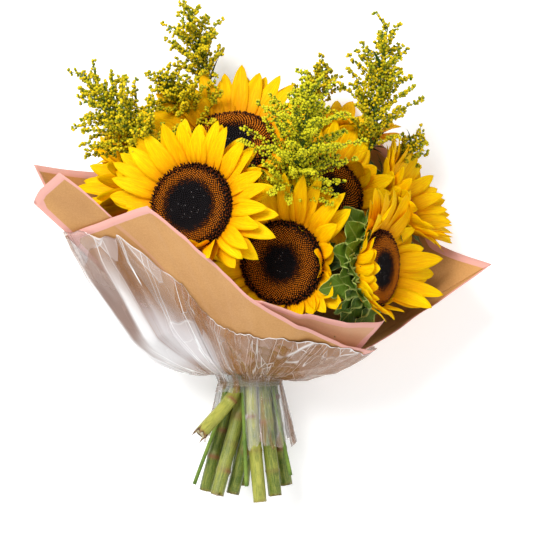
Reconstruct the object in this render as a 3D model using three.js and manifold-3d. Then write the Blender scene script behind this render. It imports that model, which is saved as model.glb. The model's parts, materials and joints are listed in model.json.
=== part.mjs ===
// A wrapped bunch of sunflowers and goldenrod, lying on its back on a table.
// Millimetres. +Z is up from the table, +Y runs from the cut stems to the flowers, +X is to the right when
// the bunch is seen from above with its stems towards the viewer. The origin is on the table, under the
// middle of the flat spot on which the paper rests.
import * as THREE from "three";
import { mergeVertices } from "three/addons/utils/BufferGeometryUtils.js";
import Module from "manifold-3d";

const wasm = await Module();
wasm.setup();

// ---------------------------------------------------------------- driving dimensions

const SEED = 41;
const GAP = 0.35; // room between pieces that touch
const CLEAR = 0.7; // room that a bent petal, bract or twig keeps from its neighbours

const TIE = new THREE.Vector3(-15, -105, 36); // middle of the bundle, where the band holds it
const BAND = { inner: 26.5, wall: 1.6, width: 7, sides: 16 };

// The wrap is a flared cone round the bundle, flattened underneath by the table. Each row is one pleat of
// it: its angle on the neck in degrees (0 right, 90 up, 180 left), its far end, and how far its middle
// stands out.
const PLEATS = [
  { at: 165, rim: [-176, 27, 103], belly: 2 }, // left corner of the front sheet
  { at: 142, rim: [-135.5, 39.5, 150], belly: 2.5 },
  { at: 124, rim: [-96.5, 50, 205], belly: 3 }, // top corner of the front sheet
  { at: 112, rim: [-66, 23, 207], belly: 3 },
  { at: 100, rim: [-36, -4.5, 203], belly: 3 },
  { at: 86, rim: [-5.4, -30.7, 193], belly: 4 },
  { at: 68, rim: [27.8, -50, 176], belly: 4 },
  { at: 48, rim: [62, -64.5, 153], belly: 4 },
  { at: 30, rim: [93.8, -72.2, 122], belly: 4 }, // right end of the front sheet
  { at: 14, rim: [144, -42.8, 96], belly: 5 },
  { at: 2, rim: [203, -0.4, 85], belly: 5 }, // right corner of the back sheet
  { at: -16, rim: [156, 21.5, 46], belly: 5 },
  { at: -38, rim: [126.5, 95, 18], belly: 7 },
  { at: -62, rim: [78, 138, -6], belly: 9 },
  { at: -92, rim: [-25, 150, -9], belly: 10 },
  { at: -132, rim: [-140, 88, -4], belly: 9 },
  { at: -170, rim: [-211, 89, 80], belly: 6 }, // left corner of the back sheet
];
const PAPER = 0.9; // thickness of a sheet of wrapping paper
const LAYER = 2.2; // distance from one sheet of paper to the next
const NECK = 32.4; // radius of the outer sheet of paper at the neck
const NECK_Y = -97; // where the sheets end, above the band
const SHEET_ROWS = 4;
const PLEAT_STEP = 0.5; // pleats between two columns of a sheet's mesh

// Each sheet of paper runs over some pleats. edge lists how far it reaches: [pleat, share of the cone], and
// lean how far its top edge bends in over the flowers: [pleat, distance].
const SHEETS = [
  {
    name: "wrap_front_sheet",
    layer: 0,
    edge: [[0, 1], [8, 1]],
  },
  {
    name: "wrap_left_sheet",
    layer: 1,
    edge: [
      [-0.25, 1.19], [0.3, 1.26], [0.72, 1.3], [0.92, 1.14], [1.15, 0.97], [1.7, 0.75], [2.6, 0.7], [4, 0.78],
    ],
  },
  {
    name: "wrap_inner_sheet",
    layer: 1,
    edge: [[4.35, 0.9], [5, 1.01], [6, 1.035], [7, 1.1], [8.02, 1.18]],
    lean: [[4.35, 0], [5, 0], [6, 7], [7, 13], [8.02, 21]],
  },
  {
    name: "wrap_back_sheet",
    layer: 2,
    edge: [[7.6, 0.5], [8.03, 0.62], [8.1, 0.97], [9, 1], [16, 1], [16.5, 1.02]],
  },
];

// The clear film lies outside the paper and is gathered on the band. reach and sag are given at each
// pleat: how far up the paper it comes, and how far it stands off in a loose fold.
const FILM = {
  thick: 0.7,
  loose: 0.4,
  rows: 3,
  reach: [1, 0.9, 0.57, 0.45, 0.48, 0.62, 0.8, 0.95, 0.93, 0.6, 0.4, 0.28, 0.2, 0.13, 0.13, 0.2, 0.6],
  sag: [25, 14, 7, 4, 3, 3, 3, 4, 6, 8, 6, 4, 1, 0, 0, 2, 9],
};
// The film's loose end round the stems; between the two angles of its slit it is short and narrow, where a
// broken stem comes out.
const SKIRT = { length: 56, flare: 12, wave: 2.4, rows: 1, slit: [98, 172], shortLength: 9, shortFlare: 2 };

const STEM = { radius: 6.1, sides: 6, held: 8 }; // held: how far each way from the band it runs straight
const CALYX = { radius: 30, top: -2.9, depth: 20, sides: 10 };
const BRACT = { count: 9, length: 28, lift: 3, steepest: 10, base: -5 };
const PETAL = { thick: 0.9, width: 20, keel: 1.6, droop: 3, steepest: 74, upper: 1, lower: -1.6, hub: 9 };
const LOOSE = { from: 0.16, wide: 0.36 }; // where the free part of a blade starts, and its half width there
const DISC = { under: 1.4, rim: 2, crown: 5.5, dimple: 2.5, floret: 0.8 };

// The flowers. centre is the middle of the disc's foot and face where it looks; disc its radius; petals
// how many in the upper and lower ring; lift how far they rise, in degrees; cup a side of the disc where
// they rise more, and by how much; bract the lift and length of the bracts where they differ. The stem leaves
// by neck and runs through its slot in the bundle, right and up from the middle of it, to its cut foot.
const BLOOMS = [
  {
    centre: [-62, 50, 170], face: [-0.33, 0.13, 0.93], disc: 37, petals: [14, 12], length: 39, lift: [24, 14],
    neck: [-42, 34, 118], slot: [-13, 12], foot: [-59, -150, 72], fine: true,
  },
  {
    centre: [14, 3, 142], face: [-0.3, -0.05, 0.95], disc: 37, petals: [14, 12], length: 38, lift: [32, 22],
    cup: [180, 20], neck: [18, -18, 86], slot: [0, 13.5], foot: [-6, -213, 60], fine: true,
  },
  {
    centre: [94, -2, 134], face: [0.84, -0.08, 0.54], disc: 34, petals: [12, 12], length: 41, lift: [48, 38],
    cup: [180, 26], bract: [-45, 33], neck: [52, -10, 88], slot: [13, 12], foot: [8, -208, 54],
  },
  {
    centre: [-30, 108, 98], face: [-0.05, 0.68, 0.73], disc: 39, petals: [14, 12], length: 42, lift: [26, 15],
    neck: [-28, 60, 54], slot: [-6.5, 1], foot: [-45, -207, 58],
  },
  {
    centre: [51, 63, 112], face: [0.35, 0.32, 0.88], disc: 35, petals: [12, 10], length: 40, lift: [24, 13],
    neck: [34, 38, 64], slot: [6.5, 1], foot: [-31, -208, 42],
  },
  {
    centre: [-118, 74, 88], face: [-0.93, 0.25, 0.25], disc: 30, petals: [12, 10], length: 42, lift: [54, 44],
    neck: [-70, 48, 70], slot: [-19.5, -1], foot: [-56, -206, 36],
  },
  {
    centre: [118, 56, 74], face: [0.84, 0.42, 0.34], disc: 29, petals: [12, 10], length: 35, lift: [56, 46],
    neck: [80, 22, 50], slot: [19.5, -1], foot: [18, -201, 33],
  },
  {
    centre: [62, 120, 48], face: [0.2, 0.96, 0.18], disc: 28, petals: [10, 9], length: 34, lift: [36, 25],
    neck: [56, 72, 34], slot: [0.5, -11.5], foot: [-22, -203, 17],
  },
  {
    centre: [-95, 105, 40], face: [-0.3, 0.8, 0.5], disc: 29, petals: [10, 9], length: 35, lift: [36, 25],
    neck: [-82, 50, 24], slot: [-12.2, -11.6], foot: [-43, -199, 6.3],
  },
];

// The goldenrod sprays: the slot in the bundle, the way of the main stem to its tip, the share of it that
// bears no twigs, how many twigs there are, and the length of the lowest.
const SPRAYS = [
  { slot: [-21.2, 7.3], way: [[-75, 15, 96], [-102, 96, 128], [-130, 130, 132], [-157, 166, 122]],
    foot: [-66, -199, 45], bare: 0.62, twigs: 9, reach: 54 },
  { slot: [-1.8, -19.5], way: [[-48, 20, 14], [-50, 98, 34], [-70, 138, 72], [-96, 170, 96]],
    foot: [-31, -190, 5], bare: 0.72, twigs: 7, reach: 44 },
  { slot: [6.4, -18.9], way: [[-24, 20, 12], [-42, 120, 20], [-55, 168, 40], [-69, 231, 84]],
    foot: [-8, -194, 6], bare: 0.76, twigs: 9, reach: 38 },
  { slot: [-6.4, 18.4], way: [[4, -20, 84], [12, 50, 128], [27, 88, 172], [36, 150, 204]],
    foot: [-18, -198, 68], bare: 0.6, twigs: 14, reach: 58 },
  { slot: [20.8, 9], way: [[50, -18, 50], [84, 66, 66], [95, 132, 94], [107, 212, 98]],
    foot: [22, -190, 52], bare: 0.66, twigs: 10, reach: 48 },
  { slot: [14, -12], way: [[16, 10, 9], [26, 84, 14], [36, 142, 34], [52, 182, 62]],
    foot: [4, -196, 14], bare: 0.8, twigs: 5, reach: 34 },
  { slot: [21.5, -9.5], way: [[60, 0, 24], [98, 66, 34], [122, 96, 46], [140, 118, 60]],
    foot: [20, -186, 18], bare: 0.8, twigs: 4, reach: 30 },
];
// A twig: the spray's main stem has radius and sides, and a twig thins to thin between its buds. It arches by
// a share of its length, leans out by spread degrees, and stands a turn of 2.4 radians on from the last one.
const TWIG = {
  radius: 1.8, sides: 4, thin: 0.7, buds: 3, bud: 2.5, zigzag: 0.9, arch: 0.22, spread: 40, turn: 2.4, tries: 6,
};

const COLOURS = {
  petal: new THREE.MeshStandardMaterial({ color: 0xf9b80b, roughness: 0.6 }),
  disc: new THREE.MeshStandardMaterial({ color: 0x3a1a08, roughness: 0.9 }),
  green: new THREE.MeshStandardMaterial({ color: 0x7d9636, roughness: 0.6 }),
  spray: new THREE.MeshStandardMaterial({ color: 0xa9a61c, roughness: 0.7 }),
  paper: new THREE.MeshStandardMaterial({ color: 0xc9965f, roughness: 0.7 }),
  film: new THREE.MeshStandardMaterial({ color: 0xf4eeee, roughness: 0.1, transparent: true, opacity: 0.3 }),
  band: new THREE.MeshStandardMaterial({ color: 0xb9a27a, roughness: 0.8 }),
};

// ---------------------------------------------------------------- numbers and solids

const { degToRad, radToDeg, lerp } = THREE.MathUtils;
const point = ([x, y, z]) => new THREE.Vector3(x, y, z);
const onCircle = (radius, angle, z) =>
  new THREE.Vector3(radius * Math.cos(angle), radius * Math.sin(angle), z);
const range = (n) => Array.from({ length: n }, (_, i) => i);

// A repeatable row of random numbers from 0 to 1 (mulberry32).
function dice(seed) {
  let state = seed >>> 0;
  return () => {
    state = (state + 0x6d2b79f5) >>> 0;
    let t = Math.imul(state ^ (state >>> 15), state | 1);
    t ^= t + Math.imul(t ^ (t >>> 7), t | 61);
    return ((t ^ (t >>> 14)) >>> 0) / 4294967296;
  };
}

function geometryOf(points, triangles) {
  const geometry = new THREE.BufferGeometry();
  const flat = points.flatMap((p) => [p.x, p.y, p.z]);
  geometry.setAttribute("position", new THREE.Float32BufferAttribute(flat, 3));
  geometry.setIndex(triangles.flat());
  return geometry;
}

// A closed geometry as a solid, once its equal corners are one.
function solidOf(geometry) {
  const bare = geometry.clone();
  bare.deleteAttribute("normal");
  bare.deleteAttribute("uv");
  const merged = mergeVertices(bare, 1e-4);
  return new wasm.Manifold(
    new wasm.Mesh({
      numProp: 3,
      vertProperties: new Float32Array(merged.getAttribute("position").array),
      triVerts: new Uint32Array(merged.getIndex().array),
    }),
  );
}

function meshOf(solid, name, material) {
  const made = solid.getMesh();
  const geometry = new THREE.BufferGeometry();
  geometry.setAttribute("position", new THREE.BufferAttribute(new Float32Array(made.vertProperties), 3));
  geometry.setIndex(new THREE.BufferAttribute(new Uint32Array(made.triVerts), 1));
  geometry.computeVertexNormals();
  const mesh = new THREE.Mesh(geometry, material);
  mesh.name = name;
  return mesh;
}

// A thin closed piece: triangles over the points, the same triangles over the points moved by their
// shifts, and a wall wherever a triangle's edge has no neighbour.
function slab(points, shifts, triangles) {
  const n = points.length;
  const edges = new Set(triangles.flatMap(([a, b, c]) => [`${a} ${b}`, `${b} ${c}`, `${c} ${a}`]));
  const faces = [...triangles, ...triangles.map(([a, b, c]) => [a + n, c + n, b + n])];
  for (const edge of edges) {
    const [a, b] = edge.split(" ").map(Number);
    if (!edges.has(`${b} ${a}`)) faces.push([a, a + n, b], [b, a + n, b + n]);
  }
  return geometryOf([...points, ...points.map((p, i) => p.clone().add(shifts[i]))], faces);
}

// A sheet through a grid of points on its outer face, where columns cross rows points outwards. A ring
// closes on itself. A point marked flat is thickened straight up.
function sheet(grid, thickness, ring = false) {
  const columns = grid[0].length;
  const spans = ring ? columns : columns - 1;
  const column = (c) => (ring ? (c + columns) % columns : THREE.MathUtils.clamp(c, 0, columns - 1));
  const row = (r) => THREE.MathUtils.clamp(r, 0, grid.length - 1);
  const shifts = grid.flatMap((line, r) =>
    line.map((p, c) => {
      if (p.flat) return new THREE.Vector3(0, 0, thickness);
      const across = line[column(c + 1)].clone().sub(line[column(c - 1)]);
      const up = grid[row(r + 1)][c].clone().sub(grid[row(r - 1)][c]);
      return up.cross(across).setLength(thickness);
    }),
  );
  const triangles = [];
  for (const r of range(grid.length - 1))
    for (const c of range(spans)) {
      const [a, b] = [r * columns + c, r * columns + column(c + 1)];
      const [d, e] = [a + columns, b + columns];
      if ((r + c) % 2) triangles.push([a, b, d], [b, e, d]);
      else triangles.push([a, b, e], [a, e, d]);
    }
  return solidOf(slab(grid.flat(), shifts, triangles));
}

// A smooth curve that is walked knot by knot, so that a rod along it passes through each one.
class KnottedCurve extends THREE.CatmullRomCurve3 {
  getPointAt(t, target) {
    return this.getPoint(t, target);
  }

  getTangentAt(t, target) {
    return this.getTangent(t, target);
  }
}

// A round rod along such a curve, with two steps between knots.
function rod(curve, radius, sides) {
  const section = new THREE.Shape(range(sides).map((i) => {
    const angle = (2 * Math.PI * i) / sides;
    return new THREE.Vector2(radius * Math.cos(angle), radius * Math.sin(angle));
  }));
  const steps = 2 * (curve.points.length - 1);
  return solidOf(new THREE.ExtrudeGeometry(section, { steps, bevelEnabled: false, extrudePath: curve }));
}

// A ring round the local Z axis with a section given as [radius, height] corners, counterclockwise.
function turnedRing(corners, sides) {
  const profile = [...corners, corners[0]].map(([r, z]) => new THREE.Vector2(r, z));
  return solidOf(new THREE.LatheGeometry(profile, sides).rotateX(Math.PI / 2));
}

// ---------------------------------------------------------------- the bunch so far

const bunch = new THREE.Group();
const taken = new Map(); // the space that each piece takes, by its name

function take(name, solid) {
  taken.set(name, { solid, box: solid.boundingBox() });
  return solid;
}

function place(name, solid, material) {
  bunch.add(meshOf(take(name, solid.simplify(0.02)), name, material));
}

const boxesNear = (a, b) =>
  range(3).every((i) => a.min[i] - CLEAR < b.max[i] && b.min[i] - CLEAR < a.max[i]);

// Whether a solid keeps clear of the table and of every other piece so far, apart from its own.
function isClear(solid, own) {
  const box = solid.boundingBox();
  if (box.min[2] < GAP) return false;
  for (const [name, other] of taken)
    if (name !== own && boxesNear(box, other.box) && solid.minGap(other.solid, CLEAR) < CLEAR) return false;
  return true;
}

// ---------------------------------------------------------------- the wrap

const turns = PLEATS.length;
const wrapIndex = (j) => ((j % turns) + turns) % turns;

// A number given at each pleat, read between them round the closed loop. The slopes are half of a
// Catmull-Rom curve's, so that corners stay crisp.
function between(list, k) {
  const i = Math.floor(k);
  const t = k - i;
  const [a, b, c, d] = [i - 1, i, i + 1, i + 2].map((j) => list[wrapIndex(j)]);
  const rise = (c - a) / 4;
  const fall = (d - b) / 4;
  return (
    (2 * t ** 3 - 3 * t ** 2 + 1) * b + (t ** 3 - 2 * t ** 2 + t) * rise +
    (3 * t ** 2 - 2 * t ** 3) * c + (t ** 3 - t ** 2) * fall
  );
}

// The neck angle of pleat k, in radians; a whole turn is taken off past the last pleat.
function neckAngle(k) {
  const i = Math.floor(k);
  const [a, b] = [i, i + 1].map((j) => PLEATS[wrapIndex(j)].at - 360 * Math.floor(j / turns));
  return degToRad(lerp(a, b, k - i));
}

const rim = [0, 1, 2].map((axis) => PLEATS.map((pleat) => pleat.rim[axis]));
const belly = PLEATS.map((pleat) => pleat.belly);

// The cone at pleat k and share s of the way from the neck to the rim.
function conePoint(k, s) {
  const angle = neckAngle(k);
  const out = new THREE.Vector3(Math.cos(angle), 0, Math.sin(angle));
  const neck = out.clone().multiplyScalar(NECK).add(TIE).setY(NECK_Y);
  const along = point(rim.map((list) => between(list, k))).sub(neck);
  out.addScaledVector(along, -out.dot(along) / along.lengthSq()).normalize();
  return neck.addScaledVector(along, s).addScaledVector(out, between(belly, k) * 4 * s * Math.max(1 - s, 0));
}

function coneNormal(k, s) {
  const step = 0.02;
  const across = conePoint(k + step, s).sub(conePoint(k - step, s));
  const up = conePoint(k, s + step).sub(conePoint(k, Math.max(s - step, 0)));
  return across.cross(up).normalize();
}

// A point set off outwards from the cone, but no lower than the floor.
function wrapPoint(k, s, offset, floor) {
  const p = conePoint(k, s).addScaledVector(coneNormal(k, s), offset);
  if (p.z < floor) {
    p.z = floor;
    p.flat = true;
  }
  return p;
}

// A number from a list of [pleat, number], read along straight lines.
function listAt(list, k) {
  const i = Math.min(list.findIndex((_, j) => j + 1 < list.length && k <= list[j + 1][0]), list.length - 2);
  const [a, b] = [list[i], list[i + 1]];
  return lerp(a[1], b[1], (k - a[0]) / (b[0] - a[0]));
}

function paperSheet({ layer, edge, lean }) {
  const ends = edge.map(([k]) => k);
  const first = Math.ceil(ends[0] / PLEAT_STEP);
  const steps = range(64).map((i) => (first + i) * PLEAT_STEP).filter((k) => k < ends.at(-1));
  const apart = steps.filter((k) => ends.every((end) => Math.abs(end - k) > PLEAT_STEP * 0.4));
  const columns = [...ends, ...apart].sort((a, b) => a - b);
  const grid = range(SHEET_ROWS + 1).map((r) =>
    columns.map((k) => {
      const share = r / SHEET_ROWS;
      const bent = lean ? listAt(lean, k) * Math.max(2 * share - 1, 0) ** 2 : 0;
      return wrapPoint(k, listAt(edge, k) * share, -layer * LAYER - bent, 0);
    }),
  );
  return sheet(grid, PAPER);
}

function filmSheet() {
  const columns = range(turns / PLEAT_STEP).map((i) => i * PLEAT_STEP);
  const tied = BAND.inner + BAND.wall + 2 * GAP + FILM.thick;
  const skirt = range(SKIRT.rows + 1).reverse().map((r) =>
    columns.map((k, i) => {
      const angle = neckAngle(k);
      const turn = (radToDeg(angle) + 360) % 360;
      const short = turn > SKIRT.slit[0] && turn < SKIRT.slit[1];
      const share = r / SKIRT.rows;
      const wave = (i % 2 ? 1 : -1) * SKIRT.wave * share;
      const radius = tied + share * (short ? SKIRT.shortFlare : SKIRT.flare) + wave;
      const p = onCircle(radius, angle, 0);
      const y = TIE.y - share * (short ? SKIRT.shortLength : SKIRT.length);
      return new THREE.Vector3(TIE.x + p.x, y, Math.max(TIE.z + p.y, GAP / 2));
    }),
  );
  const cover = range(FILM.rows + 1).map((r) =>
    columns.map((k) => {
      const share = r / FILM.rows;
      const sag = FILM.loose + between(FILM.sag, k) * Math.sin(Math.PI * share ** 0.75);
      return wrapPoint(k, between(FILM.reach, k) * share, FILM.thick + GAP + sag, GAP / 2);
    }),
  );
  return sheet([...skirt, ...cover], FILM.thick, true);
}

function band() {
  const half = BAND.width / 2;
  const outer = BAND.inner + BAND.wall;
  const corners = [[BAND.inner, -half], [outer, -half], [outer, half], [BAND.inner, half]];
  return turnedRing(corners, BAND.sides).rotate([90, 0, 0]).translate([TIE.x, TIE.y, TIE.z]);
}

// ---------------------------------------------------------------- sunflowers

// A flower is made facing +Z with the foot of its disc at the origin, then carried to its place.
function bloomPlace({ centre, face }) {
  const turn = new THREE.Quaternion().setFromUnitVectors(new THREE.Vector3(0, 0, 1), point(face).normalize());
  return new THREE.Matrix4().compose(point(centre), turn, new THREE.Vector3(1, 1, 1));
}

const carry = (solid, matrix) => solid.transform(matrix.toArray());

// Corners of a petal or bract from root to tip, and the way it is thickened. Its edges stand above its
// middle by the keel, and its tip droops. Rows are the shares of its length where it has a width.
function bladePoints({ angle, root, base, width, length, lift, keel, droop, rows, thick }) {
  const out = onCircle(1, angle, 0);
  const side = onCircle(1, angle + Math.PI / 2, 0);
  const along = out.clone().multiplyScalar(Math.cos(lift)).setZ(Math.sin(lift));
  const up = out.clone().multiplyScalar(-Math.sin(lift)).setZ(Math.cos(lift));
  const at = (share, across, high) =>
    out.clone().multiplyScalar(root).setZ(base).addScaledVector(along, share * length)
      .addScaledVector(side, across).addScaledVector(up, high);
  const points = rows.flatMap(([share, w]) => [
    at(share, (-w * width) / 2, keel),
    at(share, 0, -keel / 2),
    at(share, (w * width) / 2, keel),
  ]);
  return { points: [...points, at(1, 0, -droop)], shift: up.multiplyScalar(-thick), at };
}

// Triangles of a blade whose root runs from corner v0 to v1 and whose own corners start at p.
function bladeFaces(v0, v1, p, rows) {
  if (!rows.length) return [[v0, p, v1]];
  const faces = [[v0, p, p + 1], [v0, p + 1, v1], [v1, p + 1, p + 2]];
  for (const r of range(rows.length - 1)) {
    const [a, b] = [p + 3 * r, p + 3 * r + 3];
    faces.push([a, b, b + 1], [a, b + 1, a + 1], [a + 1, b + 1, b + 2], [a + 1, b + 2, a + 2]);
  }
  const last = p + 3 * (rows.length - 1);
  return [...faces, [last, last + 3, last + 1], [last + 1, last + 3, last + 2]];
}

// The outer part of a blade as a piece of its own, to try whether it is clear.
function looseBlade(blade) {
  const { points, shift, at } = bladePoints(blade);
  const half = blade.width * LOOSE.wide;
  const foot = [at(LOOSE.from, -half, 0), at(LOOSE.from, half, 0)];
  const all = [...foot, ...points];
  return solidOf(slab(all, all.map(() => shift), bladeFaces(0, 1, 2, blade.rows)));
}

// Bends tried in turn until a blade is clear: degrees added to its lift, and the share of its length.
const BENDS = [
  [0, 1], [7, 1], [-8, 1], [14, 0.97], [-15, 0.95], [22, 0.93], [30, 0.88], [-20, 0.8], [38, 0.8], [46, 0.7],
  [0, 0.75], [10, 0.6], [-10, 0.6], [30, 0.6], [45, 0.5], [0, 0.45], [20, 0.35], [40, 0.3], [55, 0.3],
  [60, 0.2],
];

function bentClear(blade, matrix, own) {
  for (const [turn, share] of BENDS) {
    const lift = Math.min(blade.lift + degToRad(turn), degToRad(blade.steepest));
    const narrow = 1 - 0.2 * Math.max(0, radToDeg(lift) / PETAL.steepest - 0.6);
    const tried = { ...blade, lift, width: blade.width * narrow, length: blade.length * share };
    if (isClear(carry(looseBlade(tried), matrix), own)) return tried;
  }
  return { ...blade, length: blade.length * 0.12 };
}

// A ring of blades round a hub, as one closed piece. The hub is as deep as is said at its inner edge.
function bladeRing(blades, hub, depth) {
  const n = blades.length;
  const { root, base, thick } = blades[0];
  const start = blades[0].slot - Math.PI / n;
  const corner = (radius, i) => onCircle(radius, start + (2 * Math.PI * i) / n, base);
  const points = [...range(n).map((i) => corner(hub, i)), ...range(n).map((i) => corner(root, i))];
  const shifts = points.map((_, i) => new THREE.Vector3(0, 0, i < n ? -depth : -thick));
  const faces = [];
  blades.forEach((blade, i) => {
    const j = (i + 1) % n;
    const made = bladePoints(blade);
    faces.push([i, n + i, n + j], [i, n + j, j], ...bladeFaces(n + i, n + j, points.length, blade.rows));
    points.push(...made.points);
    shifts.push(...made.points.map(() => made.shift));
  });
  return solidOf(slab(points, shifts, faces));
}

const PETAL_ROWS = { fine: [[0.36, 1], [0.74, 0.8]], plain: [[0.5, 1]] };

function petalBlades(bloom, ring, random, matrix) {
  const n = bloom.petals[ring];
  const [side, more] = bloom.cup ?? [0, 0];
  return range(n).map((i) => {
    const slot = (2 * Math.PI * (i + ring / 2)) / n;
    const lean = more * Math.cos(slot - degToRad(side)) + 8 * (random() - 0.5);
    const blade = {
      slot,
      angle: slot + 0.06 * (random() - 0.5),
      root: bloom.disc + 0.5,
      base: ring ? PETAL.lower : PETAL.upper,
      width: PETAL.width * (bloom.disc / 37) * (14 / n) * (0.92 + 0.14 * random()),
      length: bloom.length * (0.9 + 0.18 * random()),
      lift: degToRad(bloom.lift[ring] + lean),
      steepest: PETAL.steepest,
      keel: PETAL.keel,
      droop: PETAL.droop * random(),
      rows: bloom.fine && !ring ? PETAL_ROWS.fine : PETAL_ROWS.plain,
      thick: PETAL.thick,
    };
    return bentClear(blade, matrix, "");
  });
}

// Two rings of petals, staggered, joined at their hubs.
function petals(bloom, name, random) {
  const matrix = bloomPlace(bloom);
  const hub = bloom.disc - PETAL.hub;
  const depth = PETAL.upper - PETAL.lower + PETAL.thick / 2; // the upper hub reaches into the lower one
  const upper = bladeRing(petalBlades(bloom, 0, random, matrix), hub, depth);
  take(name, carry(upper, matrix));
  const lower = bladeRing(petalBlades(bloom, 1, random, matrix), hub, PETAL.thick);
  return carry(upper.add(lower), matrix);
}

// The disc: a low dome, dimpled in the middle, with its florets as bumps in opposed spirals.
function disc(bloom) {
  const [sectors, rings] = bloom.fine ? [22, 5] : [14, 4];
  const radius = bloom.disc - 0.8;
  const edge = DISC.under + DISC.rim;
  const height = (q) => edge + DISC.crown * (1 - q ** 5) - DISC.dimple * (1 - q ** 2) ** 2;
  const points = [new THREE.Vector3(0, 0, height(0))];
  for (const r of range(rings)) {
    const q = (r + 1) / rings;
    for (const i of range(sectors)) {
      const bump = r + 1 < rings ? DISC.floret * ((i + r) % 2 ? 1 : -1) : 0;
      points.push(onCircle(radius * q, (2 * Math.PI * (i + r / 2)) / sectors, height(q) + bump));
    }
  }
  const rimStart = 1 + (rings - 1) * sectors;
  for (const i of range(sectors)) points.push(points[rimStart + i].clone().setZ(DISC.under));
  points.push(new THREE.Vector3(0, 0, DISC.under));
  const faces = [];
  for (const i of range(sectors)) {
    const j = (i + 1) % sectors;
    faces.push([0, 1 + i, 1 + j]);
    for (const r of range(rings)) {
      const a = 1 + r * sectors;
      faces.push([a + i, a + sectors + i, a + sectors + j], [a + i, a + sectors + j, a + j]);
    }
    const foot = 1 + rings * sectors;
    faces.push([foot + i, points.length - 1, foot + j]);
  }
  return carry(solidOf(geometryOf(points, faces)), bloomPlace(bloom));
}

// A curve from above, straight through its slot in the bundle, and out to its cut end.
function bundled(way, [right, up], foot) {
  const slot = new THREE.Vector3(TIE.x + right, TIE.y, TIE.z + up);
  const above = slot.clone().setY(TIE.y + STEM.held);
  const below = slot.clone().setY(TIE.y - STEM.held);
  return new KnottedCurve([...way, above, below, point(foot)], false, "centripetal");
}

// Stem and calyx of a flower.
function stalk(bloom) {
  const matrix = bloomPlace(bloom);
  const inPlace = (z) => new THREE.Vector3(0, 0, z).applyMatrix4(matrix);
  const floor = CALYX.top - CALYX.depth;
  const radius = Math.min(CALYX.radius, bloom.disc - 4);
  const shoulder = [radius * 0.75, floor + CALYX.depth / 2];
  const profile = [[0, floor], [STEM.radius, floor], shoulder, [radius, CALYX.top], [0, CALYX.top]];
  const cup = new THREE.LatheGeometry(profile.map(([r, z]) => new THREE.Vector2(r, z)), CALYX.sides);
  const way = [inPlace(floor + 6), inPlace(floor - 12), point(bloom.neck)];
  const stem = rod(bundled(way, bloom.slot, bloom.foot), STEM.radius, STEM.sides);
  return carry(solidOf(cup.rotateX(Math.PI / 2)), matrix).add(stem);
}

// The pointed green bracts that grow from the calyx behind the petals.
function bracts(bloom, own, random) {
  const matrix = bloomPlace(bloom);
  const root = Math.min(CALYX.radius, bloom.disc - 4) - 1;
  const [lift, length] = bloom.bract ?? [BRACT.lift, BRACT.length];
  const blades = range(BRACT.count).map((i) => {
    const slot = (2 * Math.PI * i) / BRACT.count;
    const blade = {
      slot,
      angle: slot + 0.2 * (random() - 0.5),
      root,
      base: BRACT.base,
      width: (2 * Math.PI * root) / BRACT.count,
      length: length * (0.85 + 0.3 * random()),
      lift: degToRad(lift + 8 * (random() - 0.5)),
      steepest: BRACT.steepest,
      keel: 0,
      droop: 0,
      rows: [],
      thick: PETAL.thick,
    };
    return bentClear(blade, matrix, own);
  });
  return carry(bladeRing(blades, root - 6, PETAL.thick), matrix);
}

// ---------------------------------------------------------------- goldenrod

// A twig is a string of buds: a three-sided rod, thick at each bud, that arches as it goes out.
function twig(root, out, up, length, random) {
  const sides = 3;
  const rings = 2 * TWIG.buds + 1;
  const side = out.clone().cross(up).normalize();
  const points = [];
  for (const r of range(rings)) {
    const t = r / rings;
    const fat = r % 2;
    const middle = root.clone().addScaledVector(out, length * t);
    middle.addScaledVector(up, length * TWIG.arch * t * (2 - t));
    if (fat) middle.addScaledVector(side, (r % 4 === 1 ? 1 : -1) * TWIG.zigzag);
    for (const i of range(sides)) {
      const angle = (2 * Math.PI * i) / sides + 0.5 * random();
      const radius = fat ? TWIG.bud * (1 - 0.25 * t) : TWIG.thin;
      points.push(middle.clone().addScaledVector(side, radius * Math.cos(angle))
        .addScaledVector(up, radius * Math.sin(angle)));
    }
  }
  points.push(root.clone().addScaledVector(out, length).addScaledVector(up, length * TWIG.arch));
  const faces = [[2, 1, 0]];
  for (const r of range(rings - 1))
    for (const i of range(sides)) {
      const [a, b] = [r * sides + i, r * sides + ((i + 1) % sides)];
      faces.push([a, b, b + sides], [a, b + sides, a + sides]);
    }
  const last = (rings - 1) * sides;
  for (const i of range(sides)) faces.push([last + i, last + ((i + 1) % sides), points.length - 1]);
  const solid = solidOf(geometryOf(points, faces));
  return solid.volume() > 0 ? solid : solidOf(geometryOf(points, faces.map(([a, b, c]) => [a, c, b])));
}

// The way of a spray's main stem, from its tip to its cut end.
const sprayCurve = ({ slot, way, foot }) => bundled(way.map(point).reverse(), slot, foot);

const mainStem = (made) => rod(sprayCurve(made), TWIG.radius, TWIG.sides);

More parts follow.
